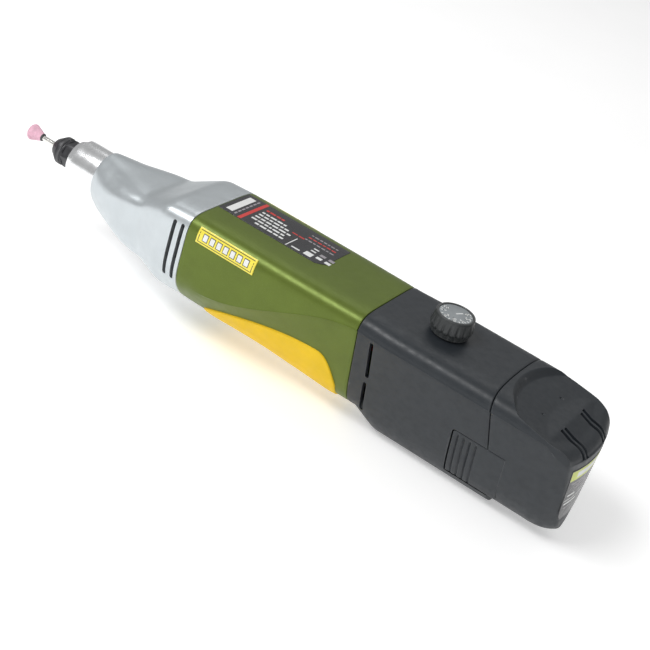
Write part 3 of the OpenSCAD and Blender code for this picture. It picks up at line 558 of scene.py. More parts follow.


# The edge paleness amounts below paint convex edges paler: a painted highlight along edges, partly edge wear.
FINISHES = {
    "collar_steel": dict(colour=(0.86, 0.87, 0.88), rough=0.24, metal=1.0, mottle=0.02,
                         lines=("X", 0.8, 0.0004), spread=0.04, depth=0.001),
    "head_metal": dict(colour=(0.56, 0.60, 0.62), rough=0.36, metal=0.8, mottle=0.03, grain=0.35,
                       depth=0.004, painted_edge_highlight_and_wear=0.3, spread=0.05),
    "green_shell": dict(colour=(0.108, 0.150, 0.020), rough=0.40, metal=0.45, grain=0.22, depth=0.002,
                        fleck=0.06, mottle=0.05, coat=0.06, coat_rough=0.25, spread=0.05, specular=0.35),
    "dark_shell": dict(colour=(0.0165, 0.0205, 0.0250), rough=0.44, grain=0.3, depth=0.006, mottle=0.08,
                       painted_edge_highlight_and_wear=0.12, specular=0.42),
    "grip_rubber": dict(colour=(0.76, 0.50, 0.014), rough=0.55, grain=0.4, depth=0.008, mottle=0.05,
                        specular=0.25),
    "plate_yellow": dict(colour=(0.80, 0.68, 0.07), rough=0.30, mottle=0.03, coat=0.4),
    "label_black": dict(colour=(0.014, 0.014, 0.017), rough=0.30, mottle=0.1, coat=0.3),
    "screw_steel": dict(colour=(0.08, 0.08, 0.085), rough=0.45, metal=0.8),
    "bearing_steel": dict(colour=(0.62, 0.63, 0.65), rough=0.25, metal=1.0, lines=("X", 0.3, 0.002)),
    "ball_steel": dict(colour=(0.75, 0.76, 0.78), rough=0.12, metal=1.0, spread=0.03, depth=0.0005),
    "motor_steel": dict(colour=(0.55, 0.56, 0.58), rough=0.4, metal=1.0, mottle=0.12),
    "black_steel": dict(colour=(0.052, 0.052, 0.056), rough=0.40, metal=0.7, mottle=0.2,
                        lines=("X", 0.25, 0.003), painted_edge_highlight_and_wear=0.25),
    "black_plastic": dict(colour=(0.02, 0.02, 0.022), rough=0.5, depth=0.008),
    "spindle_steel": dict(colour=(0.58, 0.59, 0.61), rough=0.25, metal=1.0, lines=("X", 0.3, 0.002)),
    "collet_steel": dict(colour=(0.2, 0.2, 0.21), rough=0.3, metal=1.0, mottle=0.15),
    "shank_steel": dict(colour=(0.80, 0.79, 0.76), rough=0.18, metal=1.0, lines=("X", 0.3, 0.001),
                        spread=0.05),
    "stone_pink": dict(colour=(0.74, 0.43, 0.53), rough=0.9, grain=0.3, depth=0.12, mottle=0.15,
                       patch=2.5, fleck=0.3),
    "magnet_grey": dict(colour=(0.04, 0.04, 0.045), rough=0.7, mottle=0.15),
    "contact_brass": dict(colour=(0.7, 0.52, 0.25), rough=0.3, metal=1.0),
    "winding_copper": dict(colour=(0.6, 0.26, 0.12), rough=0.35, metal=1.0, lines=("X", 0.5, 0.1)),
    "board_green": dict(colour=(0.02, 0.13, 0.06), rough=0.35, mottle=0.15, coat=0.3),
    "pot_blue": dict(colour=(0.03, 0.09, 0.3), rough=0.45),
    "dial_black": dict(colour=(0.030, 0.033, 0.034), rough=0.42, grain=0.25, depth=0.006, painted_edge_highlight_and_wear=0.3),
    "dial_grey": dict(colour=(0.23, 0.25, 0.26), rough=0.45, mottle=0.08, patch=3.0),
    "lead_red": dict(colour=(0.35, 0.02, 0.02), rough=0.45),
    "cell_blue": dict(colour=(0.03, 0.12, 0.32), rough=0.35, coat=0.3),
    "link_nickel": dict(colour=(0.6, 0.58, 0.54), rough=0.35, metal=1.0),
}
PRINTS = {
    "print_white": dict(colour=(0.72, 0.73, 0.72), rough=0.4),
    "print_red": dict(colour=(0.55, 0.035, 0.03), rough=0.35),
    "print_dark": dict(colour=(0.05, 0.055, 0.02), rough=0.4),
    "print_lime": dict(colour=(0.56, 0.62, 0.13), rough=0.35, mottle=0.1),
    "print_grey": dict(colour=(0.30, 0.28, 0.30), rough=0.45),
    "print_amber": dict(colour=(0.75, 0.45, 0.02), rough=0.4),
}
materials = {name: finish(name, **look) for name, look in {**FINISHES, **PRINTS}.items()}


def dress(obj, *names):
    obj.data.materials.clear()
    for name in names:
        obj.data.materials.append(materials[name])


def piece(obj, body, slot, *replaced, inked=False):
    """Gives a made piece its body and its finish unless it is inked, and hides the CAD nodes that it stands
    for.
    """
    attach(obj, body)
    if replaced:
        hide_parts(*replaced)
    if not inked:
        dress(obj, slot)
    return obj


for part in frame["record"]["subparts"]:
    dress(frame["nodes"][part["node"]], part["material_slot"])


# ---- Collar, nut, stone -------------------------------------------------------------------
def make_collar():
    collar_front = -6.5
    tube_end = reach("clamp_collar", X)[1]
    bore = 4.6
    seat = 7.0
    outline = [(NOSE_FRONT + 0.8, bore), (NOSE_FRONT + 0.25, bore + 0.05), (NOSE_FRONT, bore + 0.35)]
    outline += [(NOSE_FRONT, 7.2)] + arc((NOSE_FRONT + 0.5, 7.9), 0.5, 170, 100, 4)
    outline += [(collar_front - 0.45, COLLAR_R - 1.25), (collar_front - 0.3, COLLAR_R - 1.4)]
    outline += [(collar_front, COLLAR_R - 1.4)] + arc((collar_front + 0.5, COLLAR_R - 0.5), 0.5, 170, 90, 5)
    outline += [(HEAD_FRONT + 0.6, COLLAR_R), (HEAD_FRONT + 0.7, COLLAR_R - 0.5)]
    outline += [(tube_end, COLLAR_R - 0.5), (tube_end, seat)]
    outline += [(collar_front + 0.5, seat), (collar_front + 0.5, bore)]
    obj = add_turned_loop("collar", outline)
    piece(obj, "housing", "collar_steel", "clamp_collar")


def circle(at, r, angle):
    """Ring round the tool's axis; r is one radius, or one for each angle."""
    return np.stack([np.full(angle.shape, at), r * np.cos(angle), r * np.sin(angle)], axis=1)


def add_turned_loop(name, outline, steps=144, sharp=28.0):
    """Turned ring whose outline closes on itself."""
    angle = np.linspace(0, 2 * math.pi, steps, endpoint=False)
    return loft(name, [circle(at, r, angle) for at, r in outline], tube=True, sharp=sharp)


def make_nut():
    flat = 0.88 * NUT_R
    front, back = NUT_FRONT, NUT_REAR

    def faceted(angle, r, at):
        if at < front + 7.45 or r < 5:
            return np.full(angle.shape, float(r))
        turn = angle % (math.pi / 3) - math.pi / 6
        return np.minimum(r, flat / np.cos(turn))

    mouth = 2.1
    outline = [(front + 1.2, mouth), (front + 0.2, mouth + 0.05), (front, mouth + 0.3)]
    outline += arc((front + 0.9, 0.29 * 2 * NUT_R - 0.55), 0.9, 180, 118, 4)
    outline += arc((front + 4.2, NUT_R - 1.0), 1.0, 112, 90, 4)
    outline += [(front + 5.5, NUT_R), (front + 5.9, NUT_R - 0.25)]
    outline += arc((front + 6.5, NUT_R + 0.05), 0.75, 200, 340, 8)
    outline += [(front + 7.3, NUT_R - 0.2), (front + 7.5, NUT_R - 0.1), (back - 0.5, NUT_R - 0.1)]
    outline += [(back, NUT_R - 0.6), (back, 3.7), (front + 4.6, 3.7), (front + 4.6, 3.2), (front + 1.2, 3.0)]
    angle = np.linspace(0, 2 * math.pi, 144, endpoint=False)
    rings = [circle(at, faceted(angle, r, at), angle) for at, r in outline]
    piece(loft("nut", rings, tube=True, sharp=20), "nut", "black_steel", "collet_nut")


def make_stone():
    """Inverted cone with a domed face; its surface is grainy, with a fixed seed."""
    length, r = STONE_REAR - STONE_FRONT, 1.07 * STONE_R
    outline = [(0, 0.01), (0.01 * length, 0.35 * r), (0.05 * length, 0.7 * r), (0.10 * length, 0.90 * r)]
    outline += [(0.15 * length, 0.97 * r), (0.20 * length, r), (0.26 * length, 0.98 * r)]
    outline += [(mix(0.26, 0.97, k / 10) * length, mix(0.98, 0.46, k / 10) * r) for k in range(1, 11)]
    outline += [(length, 0.43 * r), (length, 0.30 * r)]
    fine = []
    for (a, ra), (b, rb) in zip(outline[:-1], outline[1:]):
        n = max(1, int(math.hypot(b - a, rb - ra) / 0.16))
        fine += [(mix(a, b, k / n), mix(ra, rb, k / n)) for k in range(n)]
    fine.append(outline[-1])
    random = np.random.default_rng(7)

    def rough(angle, radius, at):
        grain = random.uniform(-0.07, 0.05, angle.shape)
        return radius * (1 + grain * min(1, radius / r) * 0.45)

    points = [(STONE_FRONT + a, ra) for a, ra in fine]
    obj = turned("stone", points, steps=150, radius=rough, sharp=80)
    piece(obj, "bit", "stone_pink", "grinding_stone")
    # A dark ring round the stone's rear end.
    profile = [(-0.3, 1.3), (-0.3, 1.75), (0.1, 1.75), (0.45, 1.45), (0.6, 1.2), (0.6, 1.16), (-0.3, 1.16)]
    dark_ring_outline = [(STONE_REAR + at, r) for at, r in profile]
    piece(add_turned_loop("stone_dark_ring", dark_ring_outline, steps=64), "bit", "black_steel")


# ---- Head ---------------------------------------------------------------------------------
def slot_cutters(x, z0, z1, width, lean, side_reach=9.0):
    """A pair of round-ended slot cutters, one through each side wall."""
    turn = math.radians(lean)
    tools = []
    for side in (-1, 1):
        def to_space(u, v, w, side=side):
            across, up = u * math.cos(turn) - v * math.sin(turn), u * math.sin(turn) + v * math.cos(turn)
            return x + across, side * (HALF_W + 2 - w), (z0 + z1) / 2 + up

        tools.append(prism("tool", stadium(z1 - z0, width), to_space, side_reach))
    return tools


def make_head():
    wall = WALL + 0.3
    last = HEAD_SEAM - 0.02
    outer = [ring(s) for s in np.arange(HEAD_FRONT + 0.6, HEAD_SEAM - 0.6, 0.85)]
    front = edge_rings(HEAD_FRONT, -1, round_r=0.5)
    rear = edge_rings(last, 1, round_r=0.3)
    inner = [ring(s, wall) for s in np.arange(HEAD_FRONT + 4, HEAD_SEAM, 4)] + [ring(last, wall)]
    obj = loft("head", front[:-1] + outer + rear[1:] + inner[::-1], tube=True)
    tools = []
    for k in (0, 1):
        tools += slot_cutters(HEAD_SEAM - 6.5 + 4 * k, -12.5, 13.3, 1.7, 0)
    angle = np.linspace(0, 2 * math.pi, 96, endpoint=False)
    bore = COLLAR_R - 0.45
    ends = [circle(at, bore, angle) for at in (HEAD_FRONT - 2, HEAD_FRONT + 12)]
    tools.append(loft("tool", ends))
    piece(cut(obj, tools), "housing", "head_metal", "head_casting")


# ---- Motor housing with its grips and plates ----------------------------------------------
def make_motor_housing():
    first, last = HEAD_SEAM + 0.08, MOTOR_SEAM - 0.08
    outer = [ring(s) for s in np.arange(first + 0.8, last - 0.6, 1.4)]
    rings = edge_rings(first, -1)[:-1] + outer + edge_rings(last, 1)[1:]
    inner = [ring(s, WALL) for s in np.linspace(last, first, 20)]
    piece(loft("motor_shell", rings + inner, tube=True), "housing", "green_shell", "motor_housing")


def pad_top(s):
    """Height of the grip's upper edge along the tool: a leaf with a blunt rear end."""
    rise = math.sin(math.pi / 2 * min(1, s / 0.84)) ** 0.75
    fall = max(0.0, (s - 0.84) / 0.16) ** 2.2
    return -20.5 + 11.7 * rise - 13 * fall


def make_grips():
    def top_way(x):
        return way_to(x, pad_top((x - PAD_FRONT) / (PAD_REAR - PAD_FRONT)))

    def low_way(x):
        """Just short of the middle of the underside."""
        _, run = skin_line(x)
        return run[-1] - 1.0

    for side, name in ((1, "right"), (-1, "left")):
        obj = pad_solid(
            "grip_" + name, PAD_FRONT, PAD_REAR,
            lambda x: side * top_way(x), lambda x: side * low_way(x),
            thick=0.62, edge=0.7, columns=34, rows=60, crown=0.25,
        )
        piece(obj, "housing", "grip_rubber", "grip_pad_" + name)


def make_plates():
    middle = (PLATE_FRONT + PLATE_REAR) / 2
    high, low = way_to(middle, 15.9), way_to(middle, 9.6)
    for side, name in ((1, "right"), (-1, "left")):
        obj = pad_solid(
            "plate_" + name, PLATE_FRONT, PLATE_REAR,
            lambda x: side * high, lambda x: side * low,
            thick=0.45, edge=0.18, columns=22, rows=30,
        )
        piece(obj, "housing", "plate_yellow", "name_plate_" + name)
        x0, x1 = PLATE_FRONT + 0.9, PLATE_REAR - 0.9
        v0, v1 = high + 0.75, low - 0.75
        line = 0.3
        prints = [
            (x0, x1, side * v0, side * (v0 + line), 0), (x0, x1, side * (v1 - line), side * v1, 0),
            (x0, x0 + line, side * v0, side * v1, 0), (x1 - line, x1, side * v0, side * v1, 0),
        ]
        bars = 7
        room = (x1 - x0 - 3) / bars
        for k in range(bars):
            a = x0 + 1.5 + room * (k + 0.12)
            prints.append((a, a + 0.76 * room, side * (v0 + 1.0), side * (v1 - 1.0), 0))
        obj = stickers("plate_print_" + name, prints, ["print_dark"], 0.45, 0.02)
        piece(obj, "housing", "plate_yellow", inked=True)
        tops = [(a + 0.3, b - 0.3, side * (v0 + 1.3), side * (v1 - 1.3), 0) for a, b, *_ in prints[4:]]
        obj = stickers("plate_bars_" + name, tops, ["print_white"], 0.46, 0.05)
        piece(obj, "housing", "plate_yellow", inked=True)


def make_rating_label():
    near, far = -6.0, 16.0
    chamfer = 3.4

    def near_edge(x):
        return near + max(0.0, x - (LABEL_REAR - chamfer)) * 0.9

    front = HEAD_SEAM + 0.6
    obj = pad_solid("rating_label", front, LABEL_REAR, near_edge, lambda x: far,
                    thick=0.18, edge=0.1, columns=26, rows=40, sink=0.15)
    piece(obj, "housing", "label_black", "rating_label")
    stripe = front + 9.2
    prints = [(stripe, stripe + 1.7, near + 0.3, far - 0.3, 1)]
    random = np.random.default_rng(3)

    def dashes(x0, x1, v, tall, pick, short=1.2, long=3.4):
        x = x0
        while x < x1 - short:
            run = min(x1, x + random.uniform(short, long))
            prints.append((x, run, v, v + tall, pick))
            x = run + 0.55

    prints.append((front + 2.2, front + 5.4, near + 2.2, far - 2.6, 0))
    for k in range(7):
        prints.append((front + 6.6, front + 7.4, near + 1.6 + 2.7 * k, near + 3.6 + 2.7 * k, 2))
    for k, (a, b) in enumerate(((3.5, 17), (3.5, 20), (3.5, 22), (3.5, 20), (7, 21))):
        dashes(stripe + a, stripe + b, near + 13.2 - 2.6 * k, 1.15, 0)
    dashes(stripe + 3.5, stripe + 14, near + 16.2, 1.3, 1)
    dashes(stripe + 20, stripe + 26, near + 11.5, 0.8, 1)
    divider = stripe + 24
    prints.append((divider, divider + 0.45, near + 0.5, near + 9.5, 0))
    for k in range(3):
        dashes(divider + 2, LABEL_REAR - 2.5, near + 12.2 + 2.6 * k, 0.8, 1 if k == 1 else 2, 0.8, 2.2)
    prints.append((divider + 2.2, divider + 6.2, near + 1.6, near + 2.5, 0))
    prints.append((divider + 8.0, divider + 11.6, near + 1.7, near + 4.9, 0))
    prints.append((divider + 8.6, divider + 11.0, near + 6.6, near + 7.5, 0))
    prints.append((divider + 8.6, divider + 11.0, near + 8.9, near + 9.8, 0))
    for k in (0, 1):
        a = divider + 13.0 + 4.2 * k
        prints.append((a, a + 2.6, near + 3.4, near + 5.2, 0))
        prints.append((a, a + 2.6, near + 6.4, near + 8.2, 2))
    obj = stickers("rating_print", prints, ["print_white", "print_red", "print_grey"], 0.18, 0.03)
    piece(obj, "housing", "label_black", inked=True)


# ---- Rear housing -------------------------------------------------------------------------
def rear_place(s, y, z):
    bend = frac(s, PACK_SEAM - 24, PACK_SEAM)
    return s + bend * seam_shift(y, z)


def notch_outline():
    """Opening for a latch tongue, with a rounded upper front corner; it runs past the tongue's root."""
    x0, x1 = LATCH_FRONT - LATCH_SLIT, NOTCH_REAR
    z0, z1 = TONGUE_LOW - LATCH_SLIT, LATCH_TOP + LATCH_SLIT
    r = 1.6
    outline = [(x1 + 8, z0), (x0 + 0.6, z0), (x0, z0 + 0.6)]
    return outline + arc((x0 + r, z1 - r), r, 180, 90, 8) + [(x1 + 8, z1)]


def side_tool(outline, inner_y):
    tools = []
    for side in (-1, 1):
        def to_space(u, v, w, side=side):
            return u, side * (HALF_W + 2 - w), v

        tools.append(prism("tool", outline, to_space, HALF_W + 2 - inner_y))
    return tools


def make_rear_housing():
    first, last = MOTOR_SEAM + 0.08, PACK_SEAM
    stations = list(np.arange(first + 0.7, MOTOR_SEAM + 17, 0.8))
    stations += list(np.arange(MOTOR_SEAM + 18, last - 0.6, 1.3))
    outer = [ring(s, 0, rear_place) for s in stations]
    rings = edge_rings(first, -1, rear_place)[:-1] + outer + edge_rings(last, 1, rear_place)[1:]
    inner = [ring(s, WALL, rear_place) for s in np.linspace(last, first, 24)]
    obj = loft("rear_shell", rings + inner, tube=True)
    tools = slot_cutters(MOTOR_SEAM + 7.4, -7.8, 10.2, 1.7, 2, 14)
    tools += slot_cutters(MOTOR_SEAM + 7.4, -26.5, -10.6, 1.7, 0, 17)
    tools += side_tool(notch_outline(), 4)
    for side in (-1, 1):
        hole = arc((SCREW_X, side * SCREW_Y), 1.7, 0, 345, 23)
        tools.append(prism("tool", hole, lambda u, v, w: (u, v, -REAR_DROP - 1 + w), 12))
    hole = arc(((DIAL_FROM + DIAL_TO) / 2, 0), 2.4, 0, 345, 23)
    tools.append(prism("tool", hole, lambda u, v, w: (u, v, TOP_H + 1 - w), 5))
    piece(cut(obj, tools), "housing", "dark_shell", "rear_housing")


def make_housing_screws():
    """Socket screws, sunk in their holes in the underside."""
    low, high = -bottom_of(SCREW_X, SCREW_Y) + 1.2, reach("housing_screws", Z)[1]
    outline = [(low + 1.2, 0.01), (low + 1.2, 0.7), (low, 0.75), (low, 1.3), (low + 0.2, 1.5)]
    outline += [(high, 1.5), (high, 0.01)]
    for side, name in ((1, "right"), (-1, "left")):
        obj = turned("housing_screw_" + name, outline, (SCREW_X, side * SCREW_Y), steps=40, axis=Z)
        piece(obj, "housing", "screw_steel", *(["housing_screws"] if side > 0 else []))


def bottom_of(x, y):
    """Depth of the underside below the spindle axis at x and y."""
    line, _ = skin_line(x)
    under = line[line[:, 2] < -20]
    return float(-np.interp(y, under[::-1, 1], under[::-1, 2]))


# ---- Dial ---------------------------------------------------------------------------------
def make_dial():
    centre = ((DIAL_FROM + DIAL_TO) / 2, 0.0)
    base_r = (DIAL_TO - DIAL_FROM) / 2
    r = base_r - 0.55
    flare = base_r + 0.35
    waist = mix(DIAL_LOW, DIAL_TOP, 0.42)
    rim, well = 0.6, 0.75
    flutes = 18

    def scalloped(angle, radius, at):
        if radius < r - 1.2 or at > DIAL_TOP - 1.0 or at < DIAL_LOW + 0.5:
            return np.full(angle.shape, float(radius))
        depth = 0.55 * math.exp(-(((at - waist) / 2.6) ** 2))
        return radius - depth * np.abs(np.sin(angle * flutes / 2)) ** 6

    outline = [(DIAL_LOW, 2.2), (DIAL_LOW, base_r - 0.9), (DIAL_LOW + 0.4, base_r - 0.55)]
    outline += [(waist - 1.4, base_r - 0.4), (waist - 0.9, flare - 0.15), (waist - 0.5, flare)]
    outline += [(mix(waist, DIAL_TOP - 0.7, k / 8), mix(flare, r, k / 8)) for k in range(9)]
    outline += arc((DIAL_TOP - 0.45, r - 0.4), 0.45, 80, 0, 5)
    outline += [(DIAL_TOP, r - rim - 0.25), (DIAL_TOP - 0.15, r - rim - 0.4)]
    outline += [(DIAL_TOP - well, r - rim - 0.42), (DIAL_TOP - well, 2.2)]
    angle = np.linspace(0, 2 * math.pi, 360, endpoint=False)
    rings = []
    for at, radius in outline:
        rr = scalloped(angle, radius, at)
        px, py = centre[0] + rr * np.cos(angle), centre[1] + rr * np.sin(angle)
        rings.append(np.stack([px, py, np.full(360, at)], axis=1))
    piece(loft("dial_knob", rings, tube=True, sharp=35), "dial", "dial_black", "dial_knob")
    disc_r = r - rim - 0.45
    top = DIAL_TOP - 0.28
    outline = [(DISC_LOW, 0.01), (DISC_LOW, disc_r)]
    outline += arc((top - 0.15, disc_r - 0.15), 0.15, 90, 0, 3) + [(top + 0.03, 0.01)]
    obj = turned("dial_disc", outline, centre, axis=Z, steps=96)
    piece(obj, "dial", "dial_grey", "dial_disc")
    make_dial_marks(centre, disc_r, top)


DIGITS = {
    "1": "bc", "2": "abged", "3": "abgcd", "4": "fgbc", "5": "afgcd", "6": "afgecd", "0": "abcdef",
}
STROKES = {
    "a": (-1, 2, 1, 2), "b": (1, 2, 1, 0), "c": (1, 0, 1, -2), "d": (-1, -2, 1, -2),
    "e": (-1, 0, -1, -2), "f": (-1, 2, -1, 0), "g": (-1, 0, 1, 0),
}


def make_dial_marks(centre, r, top):
    """Plain scale numbers round the disc, ticks between them and a pointer bar."""
    points, faces = [], []

    def stroke(a, b, width, turn, at_r):
        a, b = np.array(a, float), np.array(b, float)
        along = (b - a) / (np.linalg.norm(b - a) + 1e-9)
        off = np.array([-along[1], along[0]]) * width / 2
        a, b = a - along * width / 2, b + along * width / 2
        corners = [a - off, b - off, b + off, a + off]
        start = len(points)
        for height in (top - 0.05, top + 0.05):
            for u, v in corners:
                radial, across = at_r + v, u
                px = centre[0] + radial * math.cos(turn) + across * math.sin(turn)
                py = centre[1] + radial * math.sin(turn) - across * math.cos(turn)
                points.append((px, py, height))
        faces.extend(tuple(start + i for i in f) for f in
                     [(0, 1, 2, 3), (7, 6, 5, 4), (0, 4, 5, 1), (1, 5, 6, 2), (2, 6, 7, 3), (3, 7, 4, 0)])

    size = 0.5
    for k, digit in enumerate("0123456"):
        turn = math.radians(-190 + 40 * k)
        for name in DIGITS[digit]:
            u0, v0, u1, v1 = (c * size for c in STROKES[name])
            stroke((u0, v0), (u1, v1), 0.42, turn, r - 1.7)
        if k < 6:
            stroke((0, -0.3), (0, 0.3), 0.36, turn + math.radians(20), r - 0.8)
    stroke((0, -1.4), (0, 1.3), 0.55, math.radians(60), 1.6)
    obj = add_mesh("dial_marks", points, faces)
    dress(obj, "print_white")
    piece(obj, "dial", "dial_grey", inked=True)


# ---- Battery ------------------------------------------------------------------------------
def pack_place(s, y, z):
    seam = 1 - frac(s, PACK_SEAM + 0.3, PACK_SEAM + 20)
    bow = frac(s, PACK_SEAM + 0.3, SCOOP_X) * (1 - frac(s, SCOOP_X + 2, PACK_SEAM + 20))
    sweep = ARC_R - np.sqrt(ARC_R**2 - np.minimum(np.abs(y), 24.5) ** 2)
    crown = CROWN * y * y * frac(s, CROWN_X, PACK_END)
    lip = np.maximum(0, sweep - SEAM_BOW * y * y) * frac(z, -8, 12)
    return s + seam * seam_shift(y, z) + bow * lip - crown


def rear_edge(y):
    """Where the battery's crowned rear face lies in plan."""
    return PACK_END - CROWN * y * y


def scoop_z(x, y):
    """Height of the scooped top of the battery."""
    sweep = SCOOP_X + seam_shift(0, TOP_H) + ARC_R - np.sqrt(ARC_R**2 - np.minimum(np.abs(y), 24.5) ** 2)
    past = np.maximum(0, x - sweep)
    floor = TOP_H - SCOOP_DROP * ease(np.minimum(1, past / SCOOP_RAMP)) - SCOOP_SLOPE * past
    over = np.clip(x - (rear_edge(y) - REAR_ROUND), 0, REAR_ROUND)
    return floor - (REAR_ROUND - np.sqrt(REAR_ROUND**2 - over**2))


PACK_TOP_STEPS = 44
PACK_SIDE_STEPS = 16
TOP_ABOVE_CREASE = 1.2


def pack_ring(s, inset=0.0, roof=0.0):
    """Section of the battery: the scooped top, then the side down to the crease, then the lower side."""
    drop = PACK_DROP - 3.2 * float(frac(s, PACK_END - 9, PACK_END)) ** 2.5
    up, low = dense_halves(s, pack_place, inset, drop)
    cap = np.maximum(scoop_z(up[:, 0], up[:, 1]) - roof, up[-1, 2] + TOP_ABOVE_CREASE)
    above = np.nonzero(up[:, 2] > cap + 1e-6)[0]
    ridge = np.argmin(np.abs(up[:, 1] - 19.5)) if len(above) == 0 else max(above[-1], 40)
    start = np.argmin(np.abs(up[:, 1] - 19.5))
    ridge = int(round(mix(start, ridge, float(frac(s, SCOOP_X, SCOOP_X + 2.5)))))
    ridge = min(ridge, len(up) - 12)
    top = up[: ridge + 1].copy()
    top[:, 2] = np.minimum(top[:, 2], cap[: ridge + 1])
    side = up[ridge:].copy()
    side[:, 2] = np.minimum(side[:, 2], np.maximum(cap[ridge:], side[-1, 2]))
    low = ledged(even(low, LOW_STEPS, first=CREASE_BAND), float(ledge_at(s)) if inset < 1 else 0.0)
    side = even(side, PACK_SIDE_STEPS, first=0.25, last=CREASE_BAND)
    side[-1, 1] += BEAD * float(ledge_at(s)) / LEDGE if inset < 1 else 0.0
    half = np.concatenate([even(top, PACK_TOP_STEPS, last=0.25), side[1:], low[1:]])
    return mirrored(half)


def shrunk(ring, share, crown):
    """The ring drawn in towards its middle, over a face crowned across y."""
    x, y, z = np.asarray(ring, float).T
    middle = (z.max() + z.min()) / 2
    return np.stack([x + crown * y * y * (1 - share**2), y * share, mix(middle, z, share)], axis=1)


def make_battery():
    first = PACK_SEAM + SEAM_GAP
    near = list(np.arange(first + 0.5, SCOOP_X + 5, 0.22))
    far = list(np.arange(SCOOP_X + 5.5, PACK_END - 6, 0.9))
    far += list(np.arange(PACK_END - 6, PACK_END - 0.7, 0.4))
    outer = []
    for k in (4, 3, 2, 1):
        turn = math.radians(22.5 * k)
        outer.append(pack_ring(first + 0.3 * (1 - math.sin(turn)), 0.3 * (1 - math.cos(turn))))
    outer += [pack_ring(s) for s in near + far]
    for k in range(5):
        turn = math.radians(22.5 * k)
        into = 0.7 * (1 - math.cos(turn))
        outer.append(pack_ring(PACK_END - 0.7 * (1 - math.sin(turn)), into, into))
    stations = (first, first + 6, first + 14, PACK_END - 12, PACK_END - 7, PACK_END - 4)
    inner = [pack_ring(s, 2.4, 1.6) for s in stations]
    n = len(outer[0])
    shares = np.linspace(0.96, 0.02, 22)
    front = [shrunk(inner[-1], f, 0.68 * CROWN) for f in shares[::-1]]
    back = [shrunk(outer[-1], f, CROWN) for f in shares]
    all_rings = front + inner[::-1] + outer + back
    points = np.concatenate(all_rings)
    faces = grid_faces(len(all_rings), n, False, True)
    faces += [tuple(range(n)), tuple(range(len(points) - n, len(points)))]
    obj = add_mesh("battery_shell", points, faces, 30)
    tools = side_tool([(min(u, NOTCH_REAR), v) for u, v in notch_outline()], 4)
    for y in (-10.4, -7.6, 7.6, 10.4):
        tools.append(vent_cutter(y))
    for side in (-1, 1):
        tools.append(dimple_cutter(PACK_SEAM + 17.2, side * 8.4))
    piece(cut(obj, tools, 30), "battery", "dark_shell", "battery_casing")


def vent_cutter(y):
    """Narrow groove over the battery's rounded rear edge."""
    width, depth = 1.7, 1.8
    end = float(rear_edge(np.array(y)))
    flat = np.linspace(end - 12.5, end - REAR_ROUND, 8)
    bend = end - REAR_ROUND * (1 - np.sin(np.linspace(0.12, 1.2, 12)))
    line = np.array([(x, float(scoop_z(np.array(x), np.array(y)))) for x in np.concatenate([flat, bend])])
    step = np.gradient(line, axis=0)
    normal = np.stack([step[:, 1], -step[:, 0]], axis=1) / np.linalg.norm(step, axis=1)[:, None]
    way = np.linspace(0, 1, len(line))
    taper = np.minimum(1, np.minimum(way, 1 - way) * 8 + 0.2)[:, None]
    under = line + normal * depth * taper
    over = line - normal * 2.5
    outline = [tuple(p) for p in under] + [tuple(p) for p in over[::-1]]
    return prism("tool", outline, lambda u, v, w: (u, y - width / 2 + w, v), width)


def dimple_cutter(x, y):
    z = float(scoop_z(np.array(x), np.array(y)))
    outline = [(z - 0.45, 0.02), (z - 0.38, 0.42), (z - 0.1, 0.7), (z + 1, 0.75), (z + 1, 0.02)]
    return turned("tool", outline, (x, y), steps=24, axis=Z)


def make_latches():
    z_top = LATCH_TOP
    flute_x = [LATCH_FRONT + 2.2 + 2.7 * k for k in range(4)]

    def flutes(x, v):
        depth = sum(math.exp(-(((x - f) / 0.4) ** 2)) for f in flute_x)
        lip = np.minimum(1, np.abs(v - v[0]) / 1.8) ** 3
        return 0.6 * depth * lip

    for side, name in ((1, "right"), (-1, "left")):
        obj = latch_solid("latch_" + name, side, z_top, TONGUE_LOW, flutes)
        piece(obj, "latch_" + name, "dark_shell", "latch_" + name)


def latch_solid(name, side, z_top, z_low, groove):
    edge, thick = 0.4, 1.5
    fine = np.concatenate([np.array([0, 0.1, 0.25, 0.45, 0.7]), np.arange(0.95, 17.6, 0.2)])
    coarse = np.arange(18, LATCH_REAR - LATCH_FRONT, 0.9)
    xs = LATCH_FRONT + np.concatenate([fine, coarse, [LATCH_REAR - LATCH_FRONT]])
    outside, inside = [], []
    corner = 1.3
    for x in xs:
        into = x - xs[0]
        top_drop = corner - math.sqrt(max(0.0, corner**2 - max(0.0, corner - into) ** 2))
        v = spaced(way_to(x, z_top - top_drop), way_to(x, z_low), 40, edge)
        gap = np.minimum(np.minimum(v - v[0], v[-1] - v), into)
        near = 1 - np.minimum(1, gap / edge)
        height = -edge + edge * np.sqrt(np.maximum(0, 1 - near**2))
        height = height - groove(x, v) * np.minimum(1, gap / edge)
        out = on_skin(x, v, height)
        back = on_skin(x, v, np.full(v.shape, -thick))
        out[:, 1] *= side
        back[:, 1] *= side
        outside.append(out)
        inside.append(back)
    faces = slab_faces(len(outside), len(outside[0]))
    return add_mesh(name, np.concatenate(outside + inside), faces, sharp=55)


